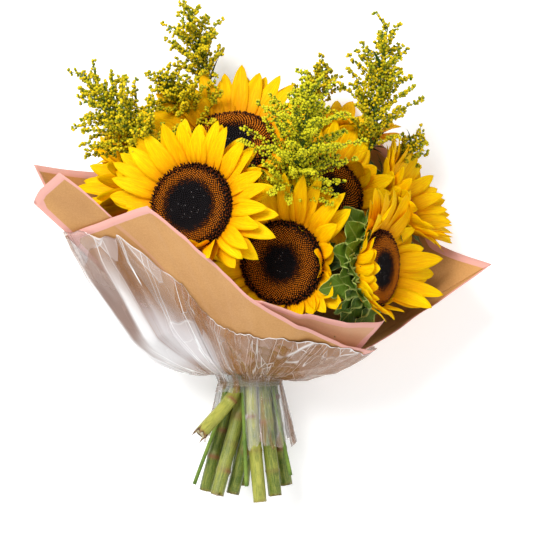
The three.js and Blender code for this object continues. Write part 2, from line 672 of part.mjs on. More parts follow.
function spray(made, own, random) {
  const upper = sprayCurve(made).points.slice(0, made.way.length + 1);
  const curve = new THREE.CatmullRomCurve3(upper, false, "centripetal");
  const parts = [mainStem(made)];
  for (const i of range(made.twigs)) {
    const share = i / made.twigs;
    const t = (1 - made.bare) * (0.06 + 0.94 * share);
    const at = curve.getPointAt(t);
    const along = curve.getTangentAt(t).negate();
    const across = new THREE.Vector3(0, 0, 1).cross(along).normalize();
    const over = along.clone().cross(across);
    for (const attempt of range(TWIG.tries)) {
      const angle = TWIG.turn * i + (attempt * Math.PI) / 3 + 0.4 * random();
      const away = across.clone().multiplyScalar(Math.cos(angle)).addScaledVector(over, Math.sin(angle));
      const spread = degToRad(TWIG.spread + 10 * random());
      const out = away.clone().multiplyScalar(Math.sin(spread)).addScaledVector(along, Math.cos(spread));
      const up = along.clone().addScaledVector(out, -along.dot(out)).normalize();
      const length = made.reach * (0.35 + 0.65 * share ** 0.7) * (0.85 + 0.3 * random());
      const tried = twig(at, out, up, attempt > 2 ? length * 0.6 : length, random);
      if (!isClear(tried, own)) continue;
      parts.push(tried);
      break;
    }
  }
  return wasm.Manifold.union(parts);
}

// ---------------------------------------------------------------- the whole bunch

for (const made of SHEETS) place(made.name, paperSheet(made), COLOURS.paper);
place("clear_film", filmSheet(), COLOURS.film);
place("binding_band", band(), COLOURS.band);

// Stems and discs take their room first, and what grows from them later bends clear of it.
const flower = (i, piece) => `sunflower_${i + 1}_${piece}`;
const sprig = (i) => `goldenrod_${i + 1}`;
BLOOMS.forEach((bloom, i) => take(flower(i, "stem"), stalk(bloom)));
SPRAYS.forEach((made, i) => take(sprig(i), mainStem(made)));
BLOOMS.forEach((bloom, i) => place(flower(i, "disc"), disc(bloom), COLOURS.disc));
BLOOMS.forEach((bloom, i) => {
  const name = flower(i, "stem");
  place(name, taken.get(name).solid.add(bracts(bloom, name, dice(SEED + i))), COLOURS.green);
});
BLOOMS.forEach((bloom, i) => {
  const name = flower(i, "petals");
  place(name, petals(bloom, name, dice(2 * SEED + i)), COLOURS.petal);
});
SPRAYS.forEach((made, i) => place(sprig(i), spray(made, sprig(i), dice(3 * SEED + i)), COLOURS.spray));

export default bunch;
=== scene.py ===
"""The looks of a wrapped bunch of sunflowers and goldenrod that lies on its back on a table.

Lengths are in millimetres until a mesh is made, which is in metres. +Z is up from the table, +Y runs from
the cut stems to the flowers, and +X is to the right when the bunch is seen from above.
"""

import json
import logging
from dataclasses import dataclass, field
from enum import Enum

import bpy
import numpy as np
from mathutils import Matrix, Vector
from mathutils.kdtree import KDTree

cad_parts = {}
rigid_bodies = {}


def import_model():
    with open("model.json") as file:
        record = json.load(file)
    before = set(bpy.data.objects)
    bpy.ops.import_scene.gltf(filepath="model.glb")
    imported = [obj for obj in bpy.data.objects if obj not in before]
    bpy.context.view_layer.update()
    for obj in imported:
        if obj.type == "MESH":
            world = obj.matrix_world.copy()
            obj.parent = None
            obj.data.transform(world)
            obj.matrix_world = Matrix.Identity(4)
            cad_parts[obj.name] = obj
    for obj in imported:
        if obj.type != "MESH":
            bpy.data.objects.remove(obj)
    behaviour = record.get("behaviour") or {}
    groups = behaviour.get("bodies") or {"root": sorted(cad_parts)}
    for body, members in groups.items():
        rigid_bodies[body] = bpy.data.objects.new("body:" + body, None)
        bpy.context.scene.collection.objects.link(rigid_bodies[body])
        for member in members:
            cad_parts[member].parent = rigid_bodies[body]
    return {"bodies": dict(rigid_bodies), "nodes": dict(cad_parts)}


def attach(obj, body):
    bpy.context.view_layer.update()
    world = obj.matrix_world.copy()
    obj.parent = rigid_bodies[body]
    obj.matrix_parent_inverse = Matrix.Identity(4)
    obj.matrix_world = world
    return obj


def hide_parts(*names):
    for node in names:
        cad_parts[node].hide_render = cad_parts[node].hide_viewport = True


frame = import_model()

MM = 0.001  # metres in a millimetre
SEED = 41
GOLDEN_ANGLE = np.pi * (3 - 5**0.5)
UP = np.array([0.0, 0.0, 1.0])
LOG = logging.getLogger("bunch")

Array = np.ndarray
Body = tuple[Array, Array]  # points, and faces in which a triangle has -1 as its fourth corner
Colour = tuple[float, float, float]
Spot = tuple[float, float, float]
Material = bpy.types.Material


# ---------------- numbers and lines


class Dice:
    """A repeatable row of numbers from 0 to 1 (mulberry32), the one that the solids were made with."""

    WORD = 0xFFFFFFFF
    STRIDE = 0x6D2B79F5

    def __init__(self, seed: int) -> None:
        """Starts the row at a seed."""
        self.state = seed

    def roll(self) -> float:
        """Returns the next number."""
        self.state = (self.state + self.STRIDE) & self.WORD
        t = ((self.state ^ (self.state >> 15)) * (self.state | 1)) & self.WORD
        t ^= (t + (((t ^ (t >> 7)) * (t | 61)) & self.WORD)) & self.WORD
        return (t ^ (t >> 14)) / (self.WORD + 1)


def unit(v: Array) -> Array:
    """Returns vectors at length 1.

    Args:
        v: One vector, or rows of them.
    """
    return v / np.maximum(np.linalg.norm(v, axis=-1, keepdims=True), 1e-12)


def spun(v: Array, axis: Array, angle: Array) -> Array:
    """Turns vectors about an axis that is square to them: v cos(angle) + (axis x v) sin(angle).

    Args:
        v: Vectors of length 1.
        axis: Axes of length 1.
        angle: The angles, in radians.

    Returns:
        The turned vectors.
    """
    angle = np.asarray(angle)[..., None]
    return v * np.cos(angle) + np.cross(axis, v) * np.sin(angle)


def spoke(angle: Array) -> Array:
    """Returns the level directions at angles from +X, in radians."""
    return np.stack([np.cos(angle), np.sin(angle), np.zeros_like(angle)], -1)


def tilted(out: Array, lift: float) -> tuple[Array, Array]:
    """Returns a level direction raised by an angle, and the direction square above it."""
    return out * np.cos(lift) + UP * np.sin(lift), UP * np.cos(lift) - out * np.sin(lift)


def once_round(sides: int) -> Array:
    """Returns the angles of a round section's sides, in radians."""
    return np.linspace(0, 2 * np.pi, sides, endpoint=False)


def walked(line: Array) -> Array:
    """Returns how far along a line each of its points lies."""
    return np.concatenate([[0], np.cumsum(np.linalg.norm(np.diff(line, axis=0), axis=1))])


def smooth(low: float, high: float, x: Array) -> Array:
    """A step from 0 at low to 1 at high that starts and ends level: 3t^2 - 2t^3.

    Args:
        low: Where the step starts.
        high: Where it ends.
        x: The numbers to step.

    Returns:
        The stepped numbers.
    """
    t = np.clip((x - low) / (high - low), 0, 1)
    return t * t * (3 - 2 * t)


class KnotCurve:
    """A centripetal Catmull-Rom curve, which is walked knot by knot.

    Between two knots it is the cubic whose slopes come from the knots on either side, weighed by the square
    roots of the distances between them. Past each end stands a knot mirrored from the one before it.
    """

    STEPS = 200  # straight steps that its length is read from
    NEAR = 1e-4  # how far to each side a direction is read

    def __init__(self, knots: Array) -> None:
        """Takes the knots, as rows of points."""
        knots = np.asarray(knots, float)
        ends = 2 * knots[[0, -1]] - knots[[1, -2]]
        self.knots = np.vstack([ends[:1], knots, ends[1:]])
        self.spans = len(knots) - 1

    def at(self, t: Array) -> Array:
        """Points of the curve.

        Args:
            t: Places from 0 to 1, with every knot an equal share apart.

        Returns:
            One point for each place.
        """
        place = np.asarray(t, float) * self.spans
        i = np.clip(place.astype(int), 0, self.spans - 1)
        w = (place - i)[..., None]
        a, b, c, d = (self.knots[i + j] for j in range(4))
        steps = [np.linalg.norm(q - p, axis=-1, keepdims=True) ** 0.5 for p, q in ((a, b), (b, c), (c, d))]
        first = (b - a) / steps[0] - (c - a) / (steps[0] + steps[1]) + (c - b) / steps[1]
        last = (c - b) / steps[1] - (d - b) / (steps[1] + steps[2]) + (d - c) / steps[2]
        first, last = first * steps[1], last * steps[1]
        return b + first * w + (3 * (c - b) - 2 * first - last) * w**2 + (2 * (b - c) + first + last) * w**3

    def even(self, share: Array) -> Array:
        """Places on the curve by their share of its length, which is read from straight steps.

        Args:
            share: Shares of the length from 0 to 1.

        Returns:
            The places that at() takes.
        """
        t = np.linspace(0, 1, self.STEPS + 1)
        run = walked(self.at(t))
        return np.interp(np.asarray(share) * run[-1], run, t)

    def tangent(self, t: Array) -> Array:
        """Returns the directions of the curve at places t."""
        return unit(self.at(np.minimum(t + self.NEAR, 1)) - self.at(np.maximum(t - self.NEAR, 0)))


# ---------------- meshes


def grid_faces(rows: int, columns: int, ring: bool = True, loop: bool = False) -> Array:
    """Four-cornered faces over a grid of points that is stored row by row.

    Args:
        rows: How many rows the grid has.
        columns: How many points a row has.
        ring: Whether the last column joins the first.
        loop: Whether the last row joins the first.

    Returns:
        Corners of the faces, which look to where columns x rows points.
    """
    r = np.arange(rows if loop else rows - 1)[:, None]
    c = np.arange(columns if ring else columns - 1)[None, :]
    far_r, far_c = (r + 1) % rows, (c + 1) % columns
    corners = [r * columns + c, r * columns + far_c, far_r * columns + far_c, far_r * columns + c]
    return np.stack(corners, -1).reshape(-1, 4)


def tube(rings: Array) -> Body:
    """A closed body through rings of points, with a fan of triangles over each end.

    Args:
        rings: Points (rows, columns, 3); a ring runs counterclockwise as seen from the last one.

    Returns:
        The points and the faces.
    """
    rows, columns = rings.shape[:2]
    c = np.arange(columns)
    following, none, middle = (c + 1) % columns, np.full(columns, -1), np.full(columns, rows * columns)
    last = (rows - 1) * columns
    first_fan = np.stack([middle, following, c, none], -1)
    last_fan = np.stack([middle + 1, last + c, last + following, none], -1)
    points = np.vstack([rings.reshape(-1, 3), rings[0].mean(0), rings[-1].mean(0)])
    return points, np.vstack([grid_faces(rows, columns), first_fan, last_fan])


def capped(values: Array) -> Array:
    """Values at a tube's points: those of its rings, then the mean of the first ring and of the last."""
    return np.concatenate([values.ravel(), [values[0].mean(), values[-1].mean()]])


def rod(line: Array, radius: Array, sides: int) -> Body:
    """A round rod: a circle that is carried along a line without twisting.

    Each ring's first direction is the last ring's, less its part along the line.

    Args:
        line: Points along the middle (rows, 3).
        radius: The radius at each point, or at each point and side (rows, sides).
        sides: How many sides it has.

    Returns:
        The points and faces of the closed rod.
    """
    ahead = unit(np.gradient(line, axis=0))
    sideways = np.empty_like(ahead)
    spare = np.eye(3)[np.abs(ahead[0]).argmin()]
    for i, way in enumerate(ahead):
        spare = unit(spare - way * (spare @ way))
        sideways[i] = spare
    other = np.cross(ahead, sideways)
    angle = once_round(sides)
    circle = sideways[:, None] * np.cos(angle)[:, None] + other[:, None] * np.sin(angle)[:, None]
    wide = np.asarray(radius, float)
    return tube(line[:, None] + circle * (wide[..., None] if wide.ndim == 2 else wide[:, None, None]))


def scattered(shape: Body, places: Array, axes: Array, sizes: Array, spins: Array) -> Body:
    """Copies of a small shape, all worked out at once: place + size x (the shape turned onto its axis).

    Args:
        shape: Points and faces of one shape, which stands on the origin along +Z.
        places: Where each copy stands (copies, 3).
        axes: The way each one points (copies, 3).
        sizes: Width and length of each (copies, 2).
        spins: The turn of each about its axis, in radians.

    Returns:
        The points and faces of all the copies.
    """
    points, faces = shape
    ahead = unit(axes)
    level = np.where(np.abs(ahead[:, 2:]) < 0.9, UP, np.array([1.0, 0.0, 0.0]))
    right = spun(unit(np.cross(level, ahead)), ahead, spins)
    front = np.cross(ahead, right)
    wide, long = sizes[:, 0, None, None], sizes[:, 1, None, None]
    made = places[:, None] + (right[:, None] * points[:, :1] + front[:, None] * points[:, 1:2]) * wide
    made = made + ahead[:, None] * points[:, 2:] * long
    shift = (np.arange(len(places)) * len(points))[:, None, None]
    all_faces = np.where(faces < 0, -1, faces[None] + shift)
    return made.reshape(-1, 3), all_faces.reshape(-1, 4)


def turned(radii: list[float], heights: list[float], sides: int) -> Body:
    """A closed body of circles about +Z.

    Args:
        radii: The radius of each circle, from the lowest up.
        heights: Its height.
        sides: How many sides it has.

    Returns:
        The points and faces.
    """
    radii, heights = (np.array(values)[:, None, None] for values in (radii, heights))
    return tube(spoke(once_round(sides)) * radii + UP * heights)


def placed(name: str, data: bpy.types.ID) -> bpy.types.Object:
    """Returns a new object of the scene with this data."""
    made = bpy.data.objects.new(name, data)
    bpy.context.scene.collection.objects.link(made)
    return made


class Skin:
    """A mesh that is put together from closed bodies, with named numbers at its points."""

    def __init__(self, *names: str) -> None:
        """Starts an empty mesh.

        Args:
            names: The numbers that every point carries, for the materials to read.
        """
        self.points: list[Array] = []
        self.faces: list[Array] = []
        self.finish: list[Array] = []
        self.values: dict[str, list[Array]] = {name: [] for name in names}
        self.count = 0

    def add(self, body: Body, finish: int = 0, **values: float | Array) -> None:
        """Adds a closed body.

        Args:
            body: Its points and faces.
            finish: Which of the mesh's materials it has.
            values: Its numbers, one for all or one for each point; a number left out is 0.
        """
        points, faces = body
        self.points.append(points)
        self.faces.append(np.where(faces < 0, -1, faces + self.count))
        self.finish.append(np.full(len(faces), finish))
        for name, rows in self.values.items():
            rows.append(np.broadcast_to(np.asarray(values.get(name, 0.0), float), len(points)))
        self.count += len(points)

    def made(self, name: str, *materials: Material, place: "Place | None" = None) -> bpy.types.Object:
        """Makes the Blender object, with its place in its mesh.

        Args:
            name: The object's name.
            materials: Its materials, in the order of finish.
            place: Where the bodies are carried to, if they were made at the origin.

        Returns:
            The object.
        """
        points = np.concatenate(self.points)
        points = (place.carry(points) if place else points) * MM
        faces = np.concatenate(self.faces)
        used = faces >= 0
        starts = np.concatenate([[0], np.cumsum(used.sum(1))[:-1]])
        mesh = bpy.data.meshes.new(name)
        mesh.vertices.add(len(points))
        mesh.vertices.foreach_set("co", points.astype(np.float32).ravel())
        mesh.loops.add(int(used.sum()))
        mesh.polygons.add(len(faces))
        mesh.polygons.foreach_set("loop_start", starts.astype(np.int32))
        mesh.polygons.foreach_set("vertices", faces[used].astype(np.int32))
        mesh.polygons.foreach_set("material_index", np.concatenate(self.finish).astype(np.int32))
        mesh.polygons.foreach_set("use_smooth", np.ones(len(faces), bool))
        for label, rows in self.values.items():
            made = mesh.attributes.new(label, "FLOAT", "POINT")
            made.data.foreach_set("value", np.concatenate(rows).astype(np.float32))
        for material in materials:
            mesh.materials.append(material)
        mesh.update(calc_edges=True)
        return placed(name, mesh)


@dataclass(frozen=True)
class Place:
    """Where a flower is carried: from facing +Z at the origin, by the least turn, to its face and centre."""

    centre: Spot
    face: Spot

    def turn(self) -> Array:
        """Returns the turn as a matrix: I + [v] + [v]^2 / (1 + c), with v = Z x face and c = Z . face."""
        to = unit(np.array(self.face))
        x, y, _ = np.cross(UP, to)
        cross = np.array([[0, 0, y], [0, 0, -x], [-y, x, 0]])
        return np.eye(3) + cross + cross @ cross / (1 + to[2])

    def carry(self, points: Array) -> Array:
        """Returns the points, carried to their place."""
        return points @ self.turn().T + np.array(self.centre)

    def back(self, points: Array) -> Array:
        """Returns points of the bunch, as they lie in the flower's own frame."""
        return (points - np.array(self.centre)) @ self.turn()


def corners_of(node: str) -> Array:
    """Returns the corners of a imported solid, in millimetres."""
    mesh = frame["nodes"][node].data
    flat = np.zeros(len(mesh.vertices) * 3, np.float32)
    mesh.vertices.foreach_get("co", flat)
    return flat.reshape(-1, 3) / MM


def nearest(tries: Array, corners: Array) -> tuple[int, float]:
    """Finds which of several points a solid has as a corner.

    Args:
        tries: The points (tries, 3).
        corners: The solid's corners.

    Returns:
        The number of the best try, and how far it is from a corner.
    """
    apart = np.linalg.norm(tries[:, None] - corners[None], axis=2).min(1)
    return int(apart.argmin()), float(apart.min())


# ---------------- shader groups


def titled(name: str) -> str:
    """Returns the name of a group's socket, from that of a value."""
    return name.replace("_", " ").title()


@dataclass(frozen=True)
class Signal:
    """A number, colour or direction in a graph; numbers are reckoned with, each sign being a Math node."""

    graph: "Graph"
    socket: bpy.types.NodeSocket

    def __add__(self, other: object) -> "Signal":
        """Returns the sum."""
        return self.graph.math("ADD", self, other)

    def __sub__(self, other: object) -> "Signal":
        """Returns the difference."""
        return self.graph.math("SUBTRACT", self, other)

    def __rsub__(self, other: object) -> "Signal":
        """Returns a number less this one."""
        return self.graph.math("SUBTRACT", other, self)

    def __mul__(self, other: object) -> "Signal":
        """Returns the product."""
        return self.graph.math("MULTIPLY", self, other)

    def __truediv__(self, other: object) -> "Signal":
        """Returns the quotient."""
        return self.graph.math("DIVIDE", self, other)

    def __abs__(self) -> "Signal":
        """Returns the number without its sign."""
        return self.graph.math("ABSOLUTE", self)

    def step(self, low: float, high: float) -> "Signal":
        """Returns a smooth step from 0 at low to 1 at high."""
        ramp = {"Value": self, "From Min": low, "From Max": high}
        return self.graph.node("MapRange", "Result", ramp, interpolation_type="SMOOTHSTEP")


class Graph:
    """A node tree that is wired by socket names."""

    def __init__(self, tree: bpy.types.NodeTree) -> None:
        """Takes the tree."""
        self.tree = tree

    def plug(self, socket: bpy.types.NodeSocket, value: object) -> None:
        """Links a signal to a socket, or sets the socket to a number, direction or colour."""
        if isinstance(value, Signal):
            self.tree.links.new(value.socket, socket)
        else:
            socket.default_value = (*value, 1.0) if socket.type == "RGBA" else value

    def added(self, kind: str, inputs: dict | None = None, **settings: object) -> bpy.types.Node:
        """Adds a node.

        Args:
            kind: The node's type, without ShaderNode.
            inputs: For each socket, by its name or number, a value or the signal that feeds it.
            settings: Its other settings.

        Returns:
            The node.
        """
        made = self.tree.nodes.new(f"ShaderNode{kind}")
        for name, value in settings.items():
            setattr(made, name, value)
        for name, value in (inputs or {}).items():
            self.plug(made.inputs[name], value)
        return made

    def node(self, kind: str, output: str, inputs: dict | None = None, **settings: object) -> Signal:
        """Returns one output of a new node, by its name; the rest is as in added()."""
        return Signal(self, self.added(kind, inputs, **settings).outputs[output])

    def math(self, operation: str, *values: object) -> Signal:
        """Returns the result of a Math node on numbers or signals."""
        return self.node("Math", "Value", dict(enumerate(values)), operation=operation)

    def vector(self, operation: str, output: str, **inputs: object) -> Signal:
        """Returns the result of a Vector Math node on first, second and scale."""
        sockets = {"first": 0, "second": 1, "scale": "Scale"}
        values = {sockets[name]: value for name, value in inputs.items()}
        return self.node("VectorMath", output, values, operation=operation)

    def attributes(self, *names: str) -> list[Signal]:
        """Returns numbers that the mesh carries at its points."""
        return [self.node("Attribute", "Fac", attribute_name=name) for name in names]

    def mix(self, share: object, first: object, second: object) -> Signal:
        """Returns the first colour, with a share of the second over it."""
        made = self.added("Mix", data_type="RGBA", clamp_factor=True)
        sockets = {socket.identifier: socket for socket in (*made.inputs, *made.outputs)}
        for name, value in (("Factor_Float", share), ("A_Color", first), ("B_Color", second)):
            self.plug(sockets[name], value)
        return Signal(self, sockets["Result_Color"])

    def ramp(self, value: Signal, stops: tuple[tuple[float, Colour], ...]) -> Signal:
        """Looks a number up on a ramp of colours.

        Args:
            value: The number.
            stops: The place and colour of each stop.

        Returns:
            The colour.
        """
        made = self.added("ValToRGB", {"Fac": value})
        elements = made.color_ramp.elements
        for _ in stops[2:]:
            elements.new(0.5)
        for element, (position, colour) in zip(elements, stops):
            element.position, element.color = position, (*colour, 1.0)
        return Signal(self, made.outputs["Color"])

    def group(self, effect: "Effect", **inputs: object) -> dict[str, Signal]:
        """Places a shader group, with its inputs by name, and returns its outputs by name."""
        made = self.added("Group", node_tree=EFFECTS.trees[effect])
        for name, value in inputs.items():
            self.plug(made.inputs[titled(name)], value)
        return {socket.name: Signal(self, socket) for socket in made.outputs}

    def bump(self, height: Signal, strength: float, distance: float) -> Signal:
        """Returns a normal raised by a height; a height of 1 measures distance, in millimetres."""
        inputs = {"Height": height, "Strength": strength, "Distance": distance * MM}
        return self.node("Bump", "Normal", inputs)


class Effect(Enum):
    """The shader groups that several finishes use, by name."""

    MOTTLE = "mottle"
    RIBS = "ribs"
    RIM = "rim"
    CRUMPLE = "crumple"


class Effects:
    """Builds each shader group once, by the method that has its name."""

    FALL = {"To Min": 1.0, "To Max": 0.0}

    def __init__(self) -> None:
        """Builds the groups."""
        self.trees = {effect: getattr(self, effect.value)() for effect in Effect}

    @staticmethod
    def opened(effect: Effect, **inputs: float) -> tuple[Graph, list[Signal]]:
        """Starts a group.

        Args:
            effect: Which group it is.
            inputs: Its inputs, with their usual values.

        Returns:
            The graph and its inputs.
        """
        graph = Graph(bpy.data.node_groups.new(effect.value, "ShaderNodeTree"))
        sockets = graph.tree.interface
        for name, value in inputs.items():
            made = sockets.new_socket(titled(name), in_out="INPUT", socket_type="NodeSocketFloat")
            made.default_value = value
        entry = graph.tree.nodes.new("NodeGroupInput")
        return graph, [Signal(graph, entry.outputs[titled(name)]) for name in inputs]

    @staticmethod
    def closed(graph: Graph, **outputs: Signal) -> bpy.types.NodeTree:
        """Gives a group its outputs, all of them numbers, and returns its tree."""
        for name in outputs:
            graph.tree.interface.new_socket(titled(name), in_out="OUTPUT", socket_type="NodeSocketFloat")
        leave = graph.tree.nodes.new("NodeGroupOutput")
        for name, signal in outputs.items():
            graph.plug(leave.inputs[titled(name)], signal)
        return graph.tree

    def mottle(self) -> bpy.types.NodeTree:
        """Returns soft blotches with fine specks in them, on Object coordinates."""
        graph, (coarse, fine, share) = self.opened(Effect.MOTTLE, blotch=60.0, speck=900.0, speck_share=0.35)
        place = graph.node("TexCoord", "Object")
        blotch = graph.node("TexNoise", "Fac", {"Vector": place, "Scale": coarse, "Detail": 3.0})
        speck = graph.node("TexNoise", "Fac", {"Vector": place, "Scale": fine, "Detail": 2.0})
        return self.closed(graph, value=speck * share + blotch * (1.0 - share), speck=speck)

    def ribs(self) -> bpy.types.NodeTree:
        """Returns fine lengthwise ribs: a noise that is stretched along the piece, on its own numbers."""
        graph, (along, across, tone, count, stretch) = self.opened(
            Effect.RIBS, along=0.0, across=0.0, tone=0.0, count=9.0, stretch=1.6
        )
        apart = 57.0  # so that no two tones share a pattern
        sides = {"X": across * count, "Y": along * stretch, "Z": tone * apart}
        place = graph.node("CombineXYZ", "Vector", sides)
        inputs = {"Vector": place, "Scale": 1.0, "Detail": 3.0, "Roughness": 0.6}
        noise = graph.node("TexNoise", "Fac", inputs)
        return self.closed(graph, value=noise, line=abs(noise - 0.5).step(0.0, 0.12))

    def rim(self) -> bpy.types.NodeTree:
        """Returns a band of a given width along an edge, from the distance to it."""
        graph, (distance, width, softness) = self.opened(Effect.RIM, distance=10.0, width=8.0, softness=0.5)
        ramp = {"Value": distance, "From Min": width - softness, "From Max": width, **self.FALL}
        mask = graph.node("MapRange", "Result", ramp, interpolation_type="SMOOTHSTEP")
        return self.closed(graph, mask=mask)

    def crumple(self) -> bpy.types.NodeTree:
        """Returns flat facets with sharp folds between them: cells on the film's own three numbers.

        Facet is a number for each cell, Slope the height of its tilted plane, and Line is 1 on the folds.
        """
        graph, (east, north, along, scale, width) = self.opened(
            Effect.CRUMPLE, east=0.0, north=0.0, along=0.0, scale=1.0, width=0.02
        )
        place = graph.node("CombineXYZ", "Vector", {"X": east, "Y": north, "Z": along})
        inputs = {"Vector": place, "Scale": scale}
        cell = graph.added("TexVoronoi", inputs).outputs
        colour, middle = Signal(graph, cell["Color"]), Signal(graph, cell["Position"])
        edge = graph.node("TexVoronoi", "Distance", inputs, feature="DISTANCE_TO_EDGE")
        facet = graph.node("SeparateColor", "Red", {"Color": colour})
        spot, centre = (graph.vector("SCALE", "Vector", first=v, scale=scale) for v in (place, middle))
        off = graph.vector("SUBTRACT", "Vector", first=spot, second=centre)
        tilt = graph.vector("SUBTRACT", "Vector", first=colour, second=(0.5, 0.5, 0.5))
        slope = graph.vector("DOT_PRODUCT", "Value", first=off, second=tilt)
        ramp = {"Value": edge, "From Min": 0.0, "From Max": width, **self.FALL}
        line = graph.node("MapRange", "Result", ramp)
        return self.closed(graph, facet=facet, slope=slope, line=line)


EFFECTS = Effects()


# ---------------- finishes


class Finish:
    """A material of the bunch.

    Each kind has its name and colours as fields. grain is its mottle: the blotches and the specks in a
    metre, and the specks' share. Its method sockets() says what goes into the Principled shader.
    """

    name: str
    grain: Spot

    def made(self) -> Material:
        """Returns the material."""
        material = bpy.data.materials.new(self.name)
        material.use_nodes = True
        shader = next(n for n in material.node_tree.nodes if n.type == "BSDF_PRINCIPLED")
        graph = Graph(material.node_tree)
        for name, value in self.sockets(graph).items():
            graph.plug(shader.inputs[name], value)
        return material

    def sockets(self, graph: Graph) -> dict[str, object]:
        """Returns what each socket of the shader gets, by its name."""
        raise NotImplementedError

    def mottle(self, graph: Graph) -> tuple[Signal, Signal]:
        """Returns the blotches and the specks of the grain."""
        made = graph.group(Effect.MOTTLE, **dict(zip(("blotch", "speck", "speck_share"), self.grain)))
        return made["Value"], made["Speck"]


@dataclass(frozen=True)
class PetalFinish(Finish):
    """Soft petals: orange at the root, yellow towards the tip, with fine lengthwise pleats."""

    name: str = "petal"
    grain: Spot = (90.0, 1500.0, 0.3)
    root: Colour = (0.78, 0.22, 0.0)
    middle: Colour = (1.0, 0.53, 0.0)
    tip: Colour = (1.0, 0.70, 0.0)
    late: Colour = (0.96, 0.36, 0.0)
    vein: Colour = (0.80, 0.31, 0.0)
    glow: Colour = (1.0, 0.5, 0.05)
    least_rough: float = 0.43

    def sockets(self, graph: Graph) -> dict[str, object]:
        """Works the look out: a ramp from root to tip that the blotches shift, under veins.

        Args:
            graph: The material's graph.

        Returns:
            What each socket gets.
        """
        along, across, tone = graph.attributes("along", "across", "tone")
        ribs = graph.group(Effect.RIBS, along=along, across=across, tone=tone, count=7.0)
        blotch, _ = self.mottle(graph)
        stops = ((0.0, self.root), (0.28, self.middle), (0.68, self.tip), (1.0, self.tip))
        colour = graph.ramp(along + (blotch - 0.5) * 0.35, stops)
        colour = graph.mix(tone * 0.75, colour, self.late)
        colour = graph.mix((1.0 - ribs["Line"]) * 0.55, colour, self.vein)
        return {
            "Base Color": colour, "Roughness": ribs["Value"] * 0.25 + self.least_rough,
            "Normal": graph.bump(ribs["Value"], 0.9, 0.6), "Specular IOR Level": 0.06,
            "Subsurface Weight": 0.10, "Subsurface Scale": 0.0015, "Subsurface Radius": self.glow,
        }


@dataclass(frozen=True)
class DiscFinish(Finish):
    """The disc: near black in the middle, a golden ring of florets, and a dark frilly rim."""

    name: str = "disc_floret"
    grain: Spot = (500.0, 3000.0, 0.5)
    deep: Colour = (0.005, 0.002, 0.001)
    heart: Colour = (0.012, 0.010, 0.013)
    gold: Colour = (0.76, 0.215, 0.007)
    brown: Colour = (0.16, 0.036, 0.004)
    rim: Colour = (0.085, 0.016, 0.003)
    speck: Colour = (0.24, 0.22, 0.22)

    def sockets(self, graph: Graph) -> dict[str, object]:
        """Works the look out: rings of colour on the florets' tips, with a few bright specks.

        Args:
            graph: The material's graph.

        Returns:
            What each socket gets.
        """
        high, zone, tone = graph.attributes("along", "across", "tone")
        stops = ((0.0, self.heart), (0.45, self.heart), (0.54, self.brown), (0.64, self.gold),
                 (0.78, self.gold), (0.88, self.brown), (1.0, self.rim))
        tips = graph.ramp(zone + (tone - 0.5) * 0.10, stops)
        colour = graph.mix(high.step(0.55, 1.0), self.deep, tips)
        bright = tone.step(0.93, 0.97) * high.step(0.8, 1.0)
        colour = graph.mix(bright * (1.0 - zone.step(0.30, 0.5)) * 0.7, colour, self.speck)
        blotch, speck = self.mottle(graph)
        return {"Base Color": colour, "Roughness": blotch * 0.3 + 0.5, "Normal": graph.bump(speck, 0.4, 0.2),
                "Specular IOR Level": 0.15}


@dataclass(frozen=True)
class StemFinish(Finish):
    """Ribbed green stems with brown scars and pale cut ends."""

    name: str = "sunflower_stem"
    grain: Spot = (35.0, 800.0, 0.3)
    dark: Colour = (0.075, 0.125, 0.010)
    light: Colour = (0.42, 0.42, 0.07)
    scar: Colour = (0.22, 0.09, 0.03)
    pith: Colour = (0.62, 0.55, 0.33)

    def sockets(self, graph: Graph) -> dict[str, object]:
        """Works the look out: blotched and ribbed green, under the scars and the cut.

        Args:
            graph: The material's graph.

        Returns:
            What each socket gets.
        """
        along, across, tone, scar, cut = graph.attributes("along", "across", "tone", "scar", "cut")
        ribs = graph.group(Effect.RIBS, along=along, across=across, tone=tone, count=6.0, stretch=6.0)
        ribs = ribs["Value"]
        blotch, _ = self.mottle(graph)
        colour = graph.mix(tone + (blotch - 0.5) * 1.6 + (ribs - 0.5) * 1.9, self.dark, self.light)
        colour = graph.mix(scar, colour, self.scar)
        colour = graph.mix(cut.step(0.0, 0.12), colour, self.scar)
        colour = graph.mix(cut.step(0.12, 0.3), colour, self.pith)
        return {"Base Color": colour, "Roughness": 0.42, "Specular IOR Level": 0.45,
                "Subsurface Weight": 0.05, "Subsurface Scale": 0.002, "Normal": graph.bump(ribs, 0.6, 0.5)}


@dataclass(frozen=True)
class LeafFinish(Finish):
    """Green bracts and leaves with paler veins and edges."""

    name: str
    dark: Colour
    light: Colour
    edge: Colour
    grain: Spot = (120.0, 1600.0, 0.45)

    def sockets(self, graph: Graph) -> dict[str, object]:
        """Works the look out: blotched green, with slanting veins, a middle vein and a rim.

        Args:
            graph: The material's graph.

        Returns:
            What each socket gets.
        """
        along, across, tone = graph.attributes("along", "across", "tone")
        side = abs(across)
        blotch, speck = self.mottle(graph)
        colour = graph.mix(blotch + (tone - 0.5), self.dark, self.light)
        veins = graph.math("SINE", along * 34.0 + side * -9.0).step(0.86, 1.0)
        lines = graph.math("MAXIMUM", veins * 0.3, 1.0 - side.step(0.02, 0.10))
        colour = graph.mix(lines * 0.3, colour, self.edge)
        rim = graph.group(Effect.RIM, distance=1.0 - side, width=0.16, softness=0.12)
        colour = graph.mix(rim["Mask"] * 0.8, colour, self.edge)
        return {"Base Color": colour, "Roughness": 0.55, "Specular IOR Level": 0.25,
                "Subsurface Weight": 0.06, "Subsurface Scale": 0.001,
                "Normal": graph.bump(speck * 0.5 - lines, 0.5, 0.5)}


